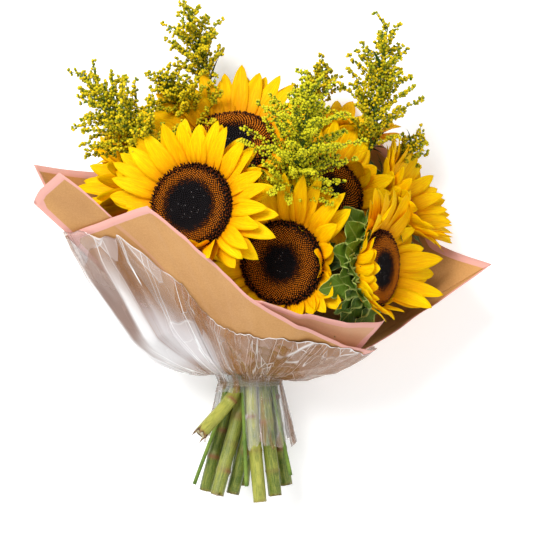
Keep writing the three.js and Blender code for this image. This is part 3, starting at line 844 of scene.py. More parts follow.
@dataclass(frozen=True)
class BudFinish(Finish):
    """Goldenrod buds: green at the foot, yellow at the tip."""

    name: str = "goldenrod_bud"
    grain: Spot = (400.0, 3000.0, 0.4)
    foot: Colour = (0.11, 0.18, 0.005)
    tip: Colour = (0.88, 0.62, 0.006)
    dull: Colour = (0.36, 0.36, 0.008)
    pale: Colour = (0.66, 0.63, 0.015)

    def sockets(self, graph: Graph) -> dict[str, object]:
        """Works the look out: the foot's green, then a tip between dull and bright, or pale.

        Args:
            graph: The material's graph.

        Returns:
            What each socket gets.
        """
        high, pale, tone = graph.attributes("along", "across", "tone")
        blotch, speck = self.mottle(graph)
        tips = graph.mix(pale, graph.mix(tone, self.dull, self.tip), self.pale)
        colour = graph.mix((high + (blotch - 0.5) * 0.5).step(0.0, 0.7), self.foot, tips)
        return {"Base Color": colour, "Roughness": 0.6, "Specular IOR Level": 0.12,
                "Normal": graph.bump(speck, 0.5, 0.2)}


@dataclass(frozen=True)
class PlainFinish(Finish):
    """Two colours in blotches: a goldenrod stem's thin green, or a band's dull olive."""

    name: str
    grain: Spot
    first: Colour
    second: Colour
    blotches: tuple[float, ...]  # where one colour turns into the other; none for an even change
    bump: tuple[float, float]
    shine: dict[str, float]

    def sockets(self, graph: Graph) -> dict[str, object]:
        """Works the look out.

        Args:
            graph: The material's graph.

        Returns:
            What each socket gets.
        """
        blotch, speck = self.mottle(graph)
        share = blotch.step(*self.blotches) if self.blotches else blotch
        return {"Base Color": graph.mix(share, self.first, self.second),
                "Normal": graph.bump(speck, *self.bump), **self.shine}


@dataclass(frozen=True)
class PaperFinish(Finish):
    """Smooth tan wrapping paper with a pale pink border; where a sheet lies beneath it, it is darkened by
    painted shade, and that sheet's pink edge shows through faintly.
    """

    name: str = "kraft_paper"
    grain: Spot = (14.0, 700.0, 0.35)
    tan: Colour = (0.64, 0.335, 0.115)
    # darker tan, used both for the paper's real mottle and for painted shade where a sheet lies behind
    shade: Colour = (0.50, 0.24, 0.075)
    pink: Colour = (0.77, 0.39, 0.33)
    blush: Colour = (0.74, 0.42, 0.30)
    border: float = 8.0

    def sockets(self, graph: Graph) -> dict[str, object]:
        """Works the look out: the tan, then painted shade where the sheet behind lies and its pink seam
        showing through, then the border.

        Args:
            graph: The material's graph.

        Returns:
            What each socket gets.
        """
        pale, gap, free = graph.attributes("pale", "gap", "border")
        blotch, speck = self.mottle(graph)
        # real mottle: random blotches of the darker tan
        colour = graph.mix(blotch.step(0.30, 0.72), self.tan, self.shade)
        colour = graph.mix(pale, colour, self.blush)
        # painted shade: darker where the sheet behind lies, as in the shadow of a double layer
        colour = graph.mix(gap.step(-2.0, 2.0) * 0.5, colour, self.shade)
        # that sheet's pink border shows through along its edge
        seam = gap.step(-1.5, 1.5) * gap.step(12.5, 9.0)
        colour = graph.mix(seam * 0.26, colour, self.pink)
        rim = graph.group(Effect.RIM, distance=free + (blotch - 0.5) * 1.2, width=self.border, softness=0.7)
        colour = graph.mix(rim["Mask"], colour, self.pink)
        return {"Base Color": colour, "Roughness": speck * 0.2 + 0.45, "Specular IOR Level": 0.2,
                "Normal": graph.bump(speck, 0.25, 0.15)}


@dataclass(frozen=True)
class FilmFinish(Finish):
    """Clear glossy film in flat facets, a few of them whitened by partly painted sheen or darkened by painted
    shade, with fine painted glint and shade lines along its folds.

    Its painted streaks are the lines on which a drawn-out noise has one of two levels, each with its
    strength; like the other fold lines they are glints where the glare noise is high and shade lines
    elsewhere.
    """

    name: str = "clear_film"
    clear: Colour = (0.62, 0.58, 0.58)
    # whitish colour, partly the film's own cloudiness and partly painted sheen
    hazy_sheen: Colour = (0.90, 0.87, 0.89)
    # painted shade: the darker colour of the film seen edge-on
    edge_on_shade: Colour = (0.30, 0.27, 0.28)
    # painted shade: the darker brown of the paper seen through the film
    shade_brown: Colour = (0.36, 0.155, 0.05)
    # painted glint: the colour of the fold lines where the glare noise is high
    white: Colour = (1.0, 1.0, 1.0)
    # painted shade: the colour of the other fold lines
    dull: Colour = (0.33, 0.22, 0.18)
    least: float = 0.05
    most: float = 0.92
    faint: float = 0.16
    # painted glint and shade streaks, drawn out from the band
    streaks: tuple[tuple[float, float], ...] = ((0.57, 0.7), (0.44, 0.6))

    def sockets(self, graph: Graph) -> dict[str, object]:
        """Works the look out: partly painted whitish sheen, painted shade in the paper's brown, painted glint
        and shade lines on the folds, and painted darkening at grazing edges each add to alpha and colour.

        Args:
            graph: The material's graph.

        Returns:
            What each socket gets.
        """
        crease, thick, milk, front_shade = graph.attributes("crease", "haze", "milk", "tint")
        names = ("east", "north", "along")
        sides = dict(zip(names, graph.attributes(*names)))
        large = graph.group(Effect.CRUMPLE, scale=0.8, width=0.012, **sides)
        small = graph.group(Effect.CRUMPLE, scale=2.1, width=0.020, **sides)
        glare = self.drawn_out(graph, sides, 1.5, 0.30)
        # partly painted sheen: random facets, the glare streaks and the milky left part turn whitish
        haze = large["Facet"].step(0.60, 0.9) * 0.16 + small["Facet"].step(0.70, 0.9) * 0.20
        haze = (haze + glare.step(0.545, 0.60) * 0.28) * thick + milk * 0.40
        # painted shade: random facets and the front of the cover take the paper's darker brown
        tint = large["Facet"].step(0.40, 0.20) * 0.20 + small["Facet"].step(0.24, 0.12) * 0.16
        tint = tint * (1.0 - milk) + front_shade * 0.42
        # painted glint and shade lines on the folds between facets
        line = graph.math("MAXIMUM", large["Line"], small["Line"]) * 0.32 * small["Facet"].step(0.25, 0.7)
        drawn = self.drawn_out(graph, sides, 2.6, 0.45)
        # painted glint and shade streaks
        for level, share in self.streaks:
            streak = abs(drawn - level).step(0.009, 0.002) * (thick * (share - self.faint) + self.faint)
            line = graph.math("MAXIMUM", line, streak)
        # painted glint and shade lines from the mesh's folds and edges
        line = graph.math("MAXIMUM", line, crease)
        # painted shade: seen edge-on, the film turns darker and more opaque
        edge = graph.node("LayerWeight", "Facing", {"Blend": 0.15})
        alpha = haze + tint + self.least + line * 0.75 + edge * 0.26
        colour = graph.mix(tint.step(0.0, 0.14), self.clear, self.shade_brown)
        colour = graph.mix(haze / (haze + tint + 0.04), colour, self.hazy_sheen)
        colour = graph.mix(edge.step(0.35, 1.0), colour, self.edge_on_shade)
        # fold lines are painted glints where the glare noise is high, and painted shade lines elsewhere
        lines = graph.mix(glare.step(0.40, 0.48), self.dull, self.white)
        colour = graph.mix(graph.math("MINIMUM", line * 2.5, 1.0), colour, lines)
        slope = large["Slope"] + small["Slope"] * 1.3
        return {"Base Color": colour, "Roughness": 0.10, "Specular IOR Level": 0.7,
                "Alpha": graph.math("MINIMUM", alpha, self.most), "Normal": graph.bump(slope, 0.8, 6.0)}

    @staticmethod
    def drawn_out(graph: Graph, sides: dict[str, Signal], scale: float, long: float) -> Signal:
        """A noise that is stretched along the way out from the band.

        Args:
            graph: The material's graph.
            sides: The film's own three numbers.
            scale: How fine it is across.
            long: How fine it is along.

        Returns:
            The noise, about 0.5 on the mean.
        """
        across = {"X": sides["east"] * scale, "Y": sides["north"] * scale}
        place = graph.node("CombineXYZ", "Vector", {**across, "Z": sides["along"] * long})
        return graph.node("TexNoise", "Fac", {"Vector": place, "Scale": 1.0, "Detail": 1.5})


@dataclass(frozen=True)
class FloorFinish(Finish):
    """The pale floor, which glows a little so that it stays white."""

    name: str = "floor"
    colour: Colour = (0.93, 0.93, 0.93)
    light: Colour = (1.0, 1.0, 1.0)
    glow: float = 0.30

    def sockets(self, graph: Graph) -> dict[str, object]:
        """Returns the shader's values."""
        return {"Base Color": self.colour, "Roughness": 0.8, "Emission Strength": self.glow,
                "Emission Color": self.light}


TWIG = PlainFinish("goldenrod_twig", (80.0, 1500.0, 0.4), (0.07, 0.14, 0.015), (0.22, 0.32, 0.04),
                   (0.3, 0.7), (0.4, 0.3), {"Roughness": 0.55, "Specular IOR Level": 0.35})
BAND = PlainFinish("elastic_band", (150.0, 2000.0, 0.5), (0.24, 0.20, 0.07), (0.13, 0.12, 0.04), (),
                   (0.3, 0.2), {"Roughness": 0.7})
BRACT = LeafFinish("bract", (0.028, 0.070, 0.003), (0.13, 0.22, 0.010), (0.50, 0.56, 0.14))
LEAF = LeafFinish("goldenrod_leaf", (0.02, 0.07, 0.01), (0.06, 0.14, 0.02), (0.14, 0.24, 0.06))


@dataclass(frozen=True)
class Finishes:
    """Every material of the bunch."""

    petal: Material = field(default_factory=PetalFinish().made)
    disc: Material = field(default_factory=DiscFinish().made)
    stem: Material = field(default_factory=StemFinish().made)
    bract: Material = field(default_factory=BRACT.made)
    leaf: Material = field(default_factory=LEAF.made)
    bud: Material = field(default_factory=BudFinish().made)
    twig: Material = field(default_factory=TWIG.made)
    paper: Material = field(default_factory=PaperFinish().made)
    film: Material = field(default_factory=FilmFinish().made)
    band: Material = field(default_factory=BAND.made)


def settle(piece: bpy.types.Object, slot: str, *nodes: str) -> None:
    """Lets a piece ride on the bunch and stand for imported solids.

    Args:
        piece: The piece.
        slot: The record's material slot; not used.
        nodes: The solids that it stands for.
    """
    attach(piece, next(iter(frame["bodies"])))
    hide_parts(*nodes)
    piece.data.calc_loop_triangles()
    LOG.info("%s: %d triangles", piece.name, len(piece.data.loop_triangles))


# ---------------- the wrap

TIE = np.array([-15.0, -105.0, 36.0])  # middle of the bundle, where the band holds it


@dataclass(frozen=True)
class Cone:
    """The flared cone on which all the sheets lie, flattened underneath by the table.

    It has 17 pleats. Each has an angle on the neck, a far end and a belly, which is how far its middle
    stands out.
    """

    angles: tuple[float, ...] = (
        165, 142, 124, 112, 100, 86, 68, 48, 30, 14, 2, -16, -38, -62, -92, -132, -170,
    )
    rims: tuple[Spot, ...] = (
        (-176, 27, 103), (-135.5, 39.5, 150), (-96.5, 50, 205), (-66, 23, 207), (-36, -4.5, 203),
        (-5.4, -30.7, 193), (27.8, -50, 176), (62, -64.5, 153), (93.8, -72.2, 122), (144, -42.8, 96),
        (203, -0.4, 85), (156, 21.5, 46), (126.5, 95, 18), (78, 138, -6), (-25, 150, -9), (-140, 88, -4),
        (-211, 89, 80),
    )
    bellies: tuple[float, ...] = (2, 2.5, 3, 3, 3, 4, 4, 4, 4, 5, 5, 5, 7, 9, 10, 9, 6)
    corners: tuple[int, ...] = (0, 2, 10, 16)
    neck: float = 32.4  # radius of the neck
    neck_y: float = -97.0

    def between(self, values: Array, k: Array) -> Array:
        """Numbers given at each pleat, read between them round the closed loop.

        Between two pleats it is the cubic with slopes (next - last) / 4, half of a Catmull-Rom curve's. A
        row of points has sharp corners: there the slope is (next - this) / 2 on either side.

        Args:
            values: One number or point for each pleat.
            k: Places on the loop, in pleats.

        Returns:
            The numbers or points there.
        """
        values, i = np.asarray(values, float), np.floor(k).astype(int)
        t = k - i
        a, b, c, d = (values[(i + j) % len(values)] for j in (-1, 0, 1, 2))
        rise, fall = (c - a) / 4, (d - b) / 4
        if values.ndim == 2:
            t = t[..., None]
            sharp = [np.isin((i + j) % len(values), self.corners)[..., None] for j in (0, 1)]
            rise, fall = np.where(sharp[0], (c - b) / 2, rise), np.where(sharp[1], (c - b) / 2, fall)
        return ((2 * t**3 - 3 * t**2 + 1) * b + (t**3 - 2 * t**2 + t) * rise
                + (3 * t**2 - 2 * t**3) * c + (t**3 - t**2) * fall)

    def neck_angle(self, k: Array) -> Array:
        """Returns the angle on the neck at pleat k, in radians, less a whole turn past the last pleat."""
        i, n = np.floor(k).astype(int), len(self.angles)
        a, b = (np.asarray(self.angles)[j % n] - 360 * np.floor(j / n) for j in (i, i + 1))
        return np.radians(a + (b - a) * (k - i))

    def point(self, k: Array, s: Array) -> Array:
        """Points of the cone: neck + s x (rim - neck) + outwards x belly x 4 s (1 - s).

        Args:
            k: Places round it, in pleats.
            s: Shares of the way from the neck to the rim.

        Returns:
            The points.
        """
        angle = self.neck_angle(k)
        out = np.stack([np.cos(angle), np.zeros_like(angle), np.sin(angle)], -1)
        neck = out * self.neck + TIE
        neck[..., 1] = self.neck_y
        along = self.between(self.rims, k) - neck
        out = unit(out - along * ((out * along).sum(-1) / (along**2).sum(-1))[..., None])
        stand = self.between(self.bellies, k) * 4 * s * np.maximum(1 - s, 0)
        return neck + along * s[..., None] + out * stand[..., None]

    def wrapped(self, k: Array, s: Array, offset: Array, floor: float) -> Array:
        """Points set off outwards from the cone, but no lower than a floor.

        Args:
            k: Places round it, in pleats.
            s: Shares of the way to the rim.
            offset: How far outwards.
            floor: The least height.

        Returns:
            The points.
        """
        step = 0.02
        across = self.point(k + step, s) - self.point(k - step, s)
        up = self.point(k, s + step) - self.point(k, np.maximum(s - step, 0))
        made = self.point(k, s) + unit(np.cross(across, up)) * np.asarray(offset)[..., None]
        made[..., 2] = np.maximum(made[..., 2], floor)
        return made


CONE = Cone()


class Walls:
    """The inner faces of the sheets, to keep the flowers inside them."""

    NEAR = 40.0  # distance past which a sheet doesn't count
    PAST = 0.6  # share of its distance by which a point past the free edge stands off along the way up
    HAIR = 1e-6

    def __init__(self) -> None:
        """Starts with no sheet."""
        self.sheets: list[Array] = []
        self.places = np.empty((0, 3, 3))
        self.tree = KDTree(0)

    def add(self, grid: Array) -> None:
        """Adds a sheet's inner face, thinned to every third point; its last row is its free edge."""
        rows = np.unique(np.append(np.arange(0, len(grid), 3), len(grid) - 1))
        across, up = np.gradient(grid, axis=1), np.gradient(grid, axis=0)
        ways = unit(up)
        ways[:-1] = 0
        sheet = np.stack([grid, unit(np.cross(across, up)), ways], -2)
        self.sheets.append(sheet[rows, ::3].reshape(-1, 3, 3))

    def close(self) -> None:
        """Puts the points in a search tree."""
        self.places = np.concatenate(self.sheets)
        self.tree = KDTree(len(self.places))
        for i, (point, _, _) in enumerate(self.places):
            self.tree.insert(point, i)
        self.tree.balance()

    def hold(self, points: Array, room: float) -> bool:
        """Whether points lie above the table and inside the paper, or out past its rim.

        Each is set against the nearest point of a sheet: it is inside if it stands off by room, against the
        normal, or if that point is on the free edge and it stands off along the way up.

        Args:
            points: The points.
            room: How far inside they have to be.

        Returns:
            Whether all of them do.
        """
        if points[:, 2].min() < room:
            return False
        for p in points:
            at, i, apart = self.tree.find(p)
            off = p - np.array(at)
            _, normal, way = self.places[i]
            if apart < self.NEAR and off @ normal > -room and off @ way < self.PAST * apart + self.HAIR:
                return False
        return True


def slab(outer: Array, inner: Array, ring: bool = False) -> Body:
    """A closed sheet between two grids of points.

    The rows of the outer face run up, then those of the inner face run down, and the last joins the first.

    Args:
        outer: The face that looks outwards (rows, columns, 3).
        inner: The face behind it.
        ring: Whether the last column joins the first; otherwise a strip closes each side.

    Returns:
        The points and faces.
    """
    both = np.concatenate([outer, inner[::-1]])
    rows, columns = both.shape[:2]
    faces = [grid_faces(rows, columns, ring, loop=True)]
    if not ring:
        r = np.arange(len(outer) - 1)
        far = rows - 1 - r
        left = np.stack([r, r + 1, far - 1, far], -1) * columns
        faces += [left, left[:, ::-1] + columns - 1]
    return both.reshape(-1, 3), np.vstack(faces)


def both_sides(values: Array) -> Array:
    """Returns a grid's values for both faces of a slab."""
    return np.concatenate([values, values[::-1]]).ravel()


@dataclass(frozen=True)
class PaperSheet:
    """One sheet of wrapping paper on the cone.

    edge lists how far it reaches: (pleat, share of the cone), and lean how far its top bends in over the
    flowers. layer counts from the outermost sheet. narrow is how much narrower its border is past pleat 2,
    and pale how pink it is all over.
    """

    name: str
    layer: int
    edge: tuple[tuple[float, float], ...]
    flat: tuple[float, float]  # the cut's width and length, in metres
    area: float  # the cut's area, in square metres
    lean: tuple[tuple[float, float], ...] = ((0, 0),)
    narrow: float = 1.0
    pale: float = 0.0
    thick: float = 0.4
    apart: float = 2.2  # distance from one sheet to the next
    floor: float = 0.02  # least height above the table
    far: float = 20.0  # past this, the sheet behind doesn't show
    rows: int = 34
    step: float = 0.08  # pleats between two columns

    def reach(self, k: Array) -> Array:
        """Returns how far the sheet reaches at pleats k."""
        places, shares = np.array(self.edge).T
        return np.interp(k, places, shares)

    def columns(self) -> Array:
        """Returns the pleats at which the sheet has columns, its corners among them."""
        ends = np.array([place for place, _ in self.edge])
        counts = np.maximum(np.ceil(np.diff(ends) / self.step), 1).astype(int)
        spans = [np.linspace(a, b, n, endpoint=False) for a, b, n in zip(ends, ends[1:], counts)]
        return np.concatenate([*spans, ends[-1:]])

    def skin(self, beneath: "PaperSheet | None", walls: Walls) -> Skin:
        """Works the sheet out: rows of equal shares up to its edge, at its layer's depth.

        Args:
            beneath: A sheet behind it that shows through.
            walls: Where its inner face is kept.

        Returns:
            The mesh, with the distance to its nearest free edge at each point.
        """
        k = self.columns()
        share = np.linspace(0, 1, self.rows)[:, None] * self.reach(k)
        k = np.broadcast_to(k, share.shape)
        places, bends = np.array(self.lean).T
        over = np.maximum(np.linspace(-1, 1, self.rows), 0)[:, None] ** 2 * np.interp(k, places, bends)
        depth = ripple(k, share) - self.layer * self.apart - over
        outer = CONE.wrapped(k, share, depth, self.floor)
        inner = CONE.wrapped(k, share, depth - self.thick, self.floor + self.thick)
        walls.add(inner)
        gap = self.gap(beneath, k, share, outer) if beneath else np.full_like(share, -self.far)
        border = self.border(k, outer)
        made = Skin("border", "gap", "pale")
        made.add(slab(outer, inner), pale=self.pale, border=both_sides(border), gap=both_sides(gap))
        return made

    def border(self, k: Array, outer: Array) -> Array:
        """Returns how far each point is from the nearest free edge, along its row or column."""
        up = np.linalg.norm(np.diff(outer, axis=0), axis=2)
        over = np.vstack([np.cumsum(up[::-1], axis=0)[::-1], np.zeros((1, k.shape[1]))])
        across = np.linalg.norm(np.diff(outer, axis=1), axis=2)
        left = np.hstack([np.zeros((self.rows, 1)), np.cumsum(across, axis=1)])
        over = over * (1 + (self.narrow - 1) * smooth(2, 2.2, k))
        return np.minimum(over, np.minimum(left, left[:, -1:] - left))

    def gap(self, beneath: "PaperSheet", k: Array, share: Array, outer: Array) -> Array:
        """How far each point lies below the edge of the sheet behind.

        That edge is evened out over 0.8 pleats to either side. It sinks by 0.28 of the cone from pleat 0.95
        to 2.1, and leaves the sheet from 2.6 to 4.2.

        Args:
            beneath: The sheet behind.
            k: The points' places, in pleats.
            share: Their shares of the way to the rim.
            outer: The points.

        Returns:
            The distances, no further than far.
        """
        tall = np.linalg.norm(outer[-1] - outer[0], axis=1)
        reach = np.mean([beneath.reach(k + aside) for aside in np.linspace(-0.8, 0.8, 15)], axis=0)
        gap = (reach - 0.28 * smooth(0.95, 2.1, k) - share) * tall - 90 * smooth(2.6, 4.2, k)
        return np.clip(gap, -self.far, self.far)


def ripple(k: Array, s: Array) -> Array:
    """The slow waves of the paper, the same in every layer: three sines that grow from the neck.

    Args:
        k: Places round the cone, in pleats.
        s: Shares of the way to the rim.

    Returns:
        How far the paper stands off the cone.
    """
    tall = smooth(0.05, 0.6, s)
    waves = 0.7 * np.sin(2.3 * k + 3 * s) + 0.5 * np.sin(5.1 * k - 4 * s + 1) + 0.3 * np.sin(9.7 * k + 7 * s)
    return tall * waves


@dataclass(frozen=True)
class Wrap:
    """The four sheets of paper."""

    sheets: tuple[PaperSheet, ...] = (
        PaperSheet("wrap_front_sheet", 0, ((0, 1), (8, 1)), (0.39, 0.23), 0.035, narrow=1.45),
        PaperSheet(
            "wrap_left_sheet", 1,
            ((-0.02, 1.21), (0.3, 1.26), (0.72, 1.3), (0.92, 1.14), (1.15, 0.97), (1.7, 0.75), (2.6, 0.7),
             (4, 0.78)),
            (0.26, 0.25), 0.022,
        ),
        PaperSheet(
            "wrap_inner_sheet", 1,
            ((4.35, 0.9), (5, 1.01), (6, 1.035), (7, 1.1), (8.02, 1.18)), (0.19, 0.15), 0.0130,
            lean=((4.35, 0), (5, 0), (6, 7), (7, 13), (8.02, 21)), pale=0.5, narrow=1.2,
        ),
        PaperSheet(
            "wrap_back_sheet", 2, ((7.6, 0.5), (8.03, 0.62), (8.1, 0.97), (9, 1), (16, 1), (16.5, 1.02)),
            (0.72, 0.26), 0.081,
        ),
    )

    def build(self, finishes: Finishes) -> Walls:
        """Args:
            finishes: The materials.

        Returns:
            Their inner faces.
        """
        walls = Walls()
        for sheet in self.sheets:
            beneath = self.sheets[1] if sheet is self.sheets[0] else None
            piece = sheet.skin(beneath, walls).made(f"{sheet.name}_fine", finishes.paper)
            settle(piece, "kraft_paper", sheet.name)
        walls.close()
        return walls


class Creases:
    """Sharp folds over a surface, between cells round scattered points.

    The height at a place is the square of how far its nearest point is, at most the square of MOST, so that
    it rises to a fold between two cells.
    """

    MOST = 1.4

    def __init__(self, seed: int, count: int, width: float, height: float) -> None:
        """Scatters the points over a square cloth of a given size."""
        self.points = np.random.default_rng(seed).uniform((0, 0), (width, height), (count, 2))
        self.width = width

    def fold(self, x: Array, y: Array) -> Array:
        """Returns the height at each place; x goes round and comes back."""
        across = np.abs(x[..., None] - self.points[:, 0])
        across = np.minimum(across, self.width - across)
        return np.minimum(np.hypot(across, y[..., None] - self.points[:, 1]).min(-1), self.MOST) ** 2


@dataclass(frozen=True)
class Film:
    """The clear film outside the paper, gathered on the band, with a loose skirt round the stems.

    reach and sag are given at each pleat: how far up the paper it comes, and how far it stands off. ring and
    long are the radius and length of the cylinder on which the pattern of its facets lies.
    """

    ring: float = 2.7
    long: float = 1.3
    flat: tuple[float, float] = (0.76, 0.24)
    area: float = 0.060
    thick: float = 0.16
    seat: float = 1.45  # how far its outer face stands off the paper where it lies on it
    reach: tuple[float, ...] = (1, .9, .57, .45, .48, .62, .8, .95, .93, .6, .4, .28, .2, .13, .13, .2, .6)
    sag: tuple[float, ...] = (25, 14, 7, 4, 3, 3, 3, 4, 6, 8, 6, 4, 1, 0, 0, 2, 9)
    tied: float = 29.5  # radius under the band
    skirt: float = 56.0  # length of the skirt
    flare: float = 12.0  # how much wider it is at its end
    wave: float = 2.4
    slit: tuple[float, float] = (98.0, 172.0)  # the side on which it is open, in degrees
    short: float = 9.0  # its length there
    floor: float = 0.2  # least height above the table
    columns: int = 510
    cover_rows: int = 70
    skirt_rows: int = 18

    def build(self, finishes: Finishes) -> None:
        """Makes the film: the skirt's rows up to the band, then the cover's rows over the paper.

        Args:
            finishes: The materials.
        """
        turns = len(CONE.angles)
        k = np.arange(self.columns) * turns / self.columns
        skirt, skirt_glint_and_shade = self.skirt_grid(k)
        cover, cover_glint_and_shade, haze, milk = self.cover_grid(k)
        outer = np.concatenate([skirt, cover])
        crease = np.concatenate([skirt_glint_and_shade, cover_glint_and_shade])
        none = np.zeros_like(skirt_glint_and_shade)
        # painted shade: over the front of the cover, from about pleat 3.2 to 10, the film is darkened towards
        # the paper's brown
        front = np.broadcast_to(smooth(3.2, 4.6, k) * smooth(10.0, 8.5, k), cover_glint_and_shade.shape)
        turn = np.broadcast_to(2 * np.pi * k / turns, crease.shape)
        down, up = np.linspace(-0.5, 0, self.skirt_rows), self.long * np.linspace(0, 1, self.cover_rows)
        values = {
            "crease": crease,
            "haze": np.concatenate([none + 0.15, haze]),
            "milk": np.concatenate([none, milk]),
            "tint": np.concatenate([none, front]),
            "along": np.append(down, up)[:, None] * CONE.between(self.reach, k),
            "east": self.ring * np.cos(turn),
            "north": self.ring * np.sin(turn),
        }
        across = np.roll(outer, -1, 1) - np.roll(outer, 1, 1)
        inward = unit(np.cross(np.gradient(outer, axis=0), across))
        skin = Skin(*values)
        body = slab(outer, outer + inward * self.thick, True)
        skin.add(body, **{name: both_sides(v) for name, v in values.items()})
        piece = skin.made("clear_film_fine", finishes.film)
        settle(piece, "clear_film", "clear_film")

    @staticmethod
    def zigzag(x: Array) -> Array:
        """Returns straight folds from -1 to 1 and back, one to each whole number."""
        return 2 * np.abs(2 * (x % 1) - 1) - 1

    def skirt_grid(self, k: Array) -> tuple[Array, Array]:
        """The loose end below the band: circles that widen downwards, folded in zigzags.

        Args:
            k: The columns' places, in pleats.

        Returns:
            The points from the lowest row up, and how strongly painted glint and shade lines mark each.
        """
        share = np.linspace(1, 0.02, self.skirt_rows)[:, None]
        angle = CONE.neck_angle(k)[None]
        turn = (np.degrees(angle) + 360) % 360
        low, high = self.slit
        open_side = smooth(low - 6, low + 3, turn) * smooth(high + 6, high - 3, turn)
        zigzag = self.zigzag(k[None] + 0.12 * np.sin(5 * share))
        fine = self.zigzag(2.6 * k[None] + 0.5 * share + 0.2 * np.sin(3 * k))
        flare = self.flare + (2 - self.flare) * open_side
        radius = self.tied + share * flare + self.wave * share * (0.8 * zigzag + 0.35 * fine)
        ragged = 1 + 0.05 * np.sin(3.1 * k) + 0.03 * np.sin(11 * k)
        length = (self.skirt + (self.short - self.skirt) * open_side) * ragged
        height = np.maximum(TIE[2] + radius * np.sin(angle), self.floor)
        points = np.stack([TIE[0] + radius * np.cos(angle), TIE[1] - share * length, height], -1)
        # painted glint and shade lines on the skirt's zigzag folds
        crease = smooth(0.93, 1.0, zigzag) * 0.30 + smooth(0.95, 1.0, fine) * 0.12
        return points, crease * np.ones_like(share)

    def cover_grid(self, k: Array) -> tuple[Array, Array, Array, Array]:
        """The cover over the paper: rows up to its reach, standing off by its sag and its creases.

        The sag is greatest below the middle: sin(pi share^0.75). Gathers run out from the band and die away.

        Args:
            k: The columns' places, in pleats.

        Returns:
            The points from the band up, how strongly painted glint and shade lines mark each, how whitish
            each is and how milky, both partly painted sheen.
        """
        share = np.linspace(0, 1, self.cover_rows)[:, None] * np.ones_like(k)
        k = np.broadcast_to(k, share.shape)
        reach = CONE.between(self.reach, k) * (1 + 0.02 * np.sin(7 * k) + 0.012 * np.sin(19 * k))
        y = share * reach * 9
        large = Creases(SEED, 55, float(len(CONE.angles)), 6.0)
        small = Creases(SEED + 1, 300, float(len(CONE.angles)), 6.0)
        coarse, fine = large.fold(k, y * 0.6), small.fold(k, y * 0.6)
        grown = smooth(0.02, 0.35, share) * smooth(1.0, 0.9, share)
        gather = np.abs(((2 * k + 0.3 * np.sin(3 * share + k)) % 1) - 0.5) * 2
        lift = CONE.between(self.sag, k) * np.sin(np.pi * share**0.75)
        lift = lift + grown * (2.6 * coarse + 2.4 * fine)
        lift = lift + (1 - smooth(0.05, 0.5, share)) * smooth(0, 0.06, share) * 2.2 * gather
        points = CONE.wrapped(k, reach * share, self.seat + lift, self.floor)
        # painted glint and shade lines: on the gathers near the band, along the top edge and down the left
        # fold
        crease = smooth(0.9, 1.0, gather) * (1 - smooth(0.1, 0.5, share)) * 0.35
        crease = np.maximum(crease, smooth(0.988, 1.0, share) * 0.6)
        left = np.minimum(k, len(CONE.angles) - k)
        crease = np.maximum(crease, 0.45 * np.exp(-((left - 0.2) / 0.6) ** 2) * np.sin(np.pi * share**1.3))
        # partly painted sheen: whiter towards the left side, where the film hangs over the floor, and milky
        # low on that side
        haze = 0.14 + 0.86 * smooth(3.6, 1.8, left) + 0.08 * np.sin(2.1 * k + 3 * share)
        milk = smooth(3.4, 1.4, left) * smooth(0.75, 0.4, share) * smooth(0.05, 0.3, share)
        return points, crease, haze * np.ones_like(share), milk


@dataclass(frozen=True)
class Band:
    """The elastic band: a ring with four rounded cords side by side."""

    inner: float = 26.5
    wall: float = 1.6
    width: float = 7.0
    cords: int = 4
    sides: int = 96
    rows: int = 40

    def build(self, finishes: Finishes) -> None:
        """Makes the band: a section of rounded cords, carried round the bundle.

        Args:
            finishes: The materials.
        """
        t = np.linspace(0, 1, self.rows)
        swell = np.abs(np.sin(np.pi * self.cords * t)) ** 0.6
        outer = self.inner + self.wall * (0.45 + 0.55 * swell)
        radius = np.concatenate([outer, np.full(2, self.inner)])
        y = np.concatenate([(t - 0.5) * self.width, [self.width / 2, -self.width / 2]]) + TIE[1]
        ring = TIE + spoke(-once_round(self.sides))[:, [0, 2, 1]] * radius[:, None, None]
        ring[..., 1] = y[:, None]
        skin = Skin()
        skin.add((ring.reshape(-1, 3), grid_faces(len(radius), self.sides, True, loop=True)))
        settle(skin.made("binding_band_fine", finishes.band), "band", "binding_band")


# ---------------- blades


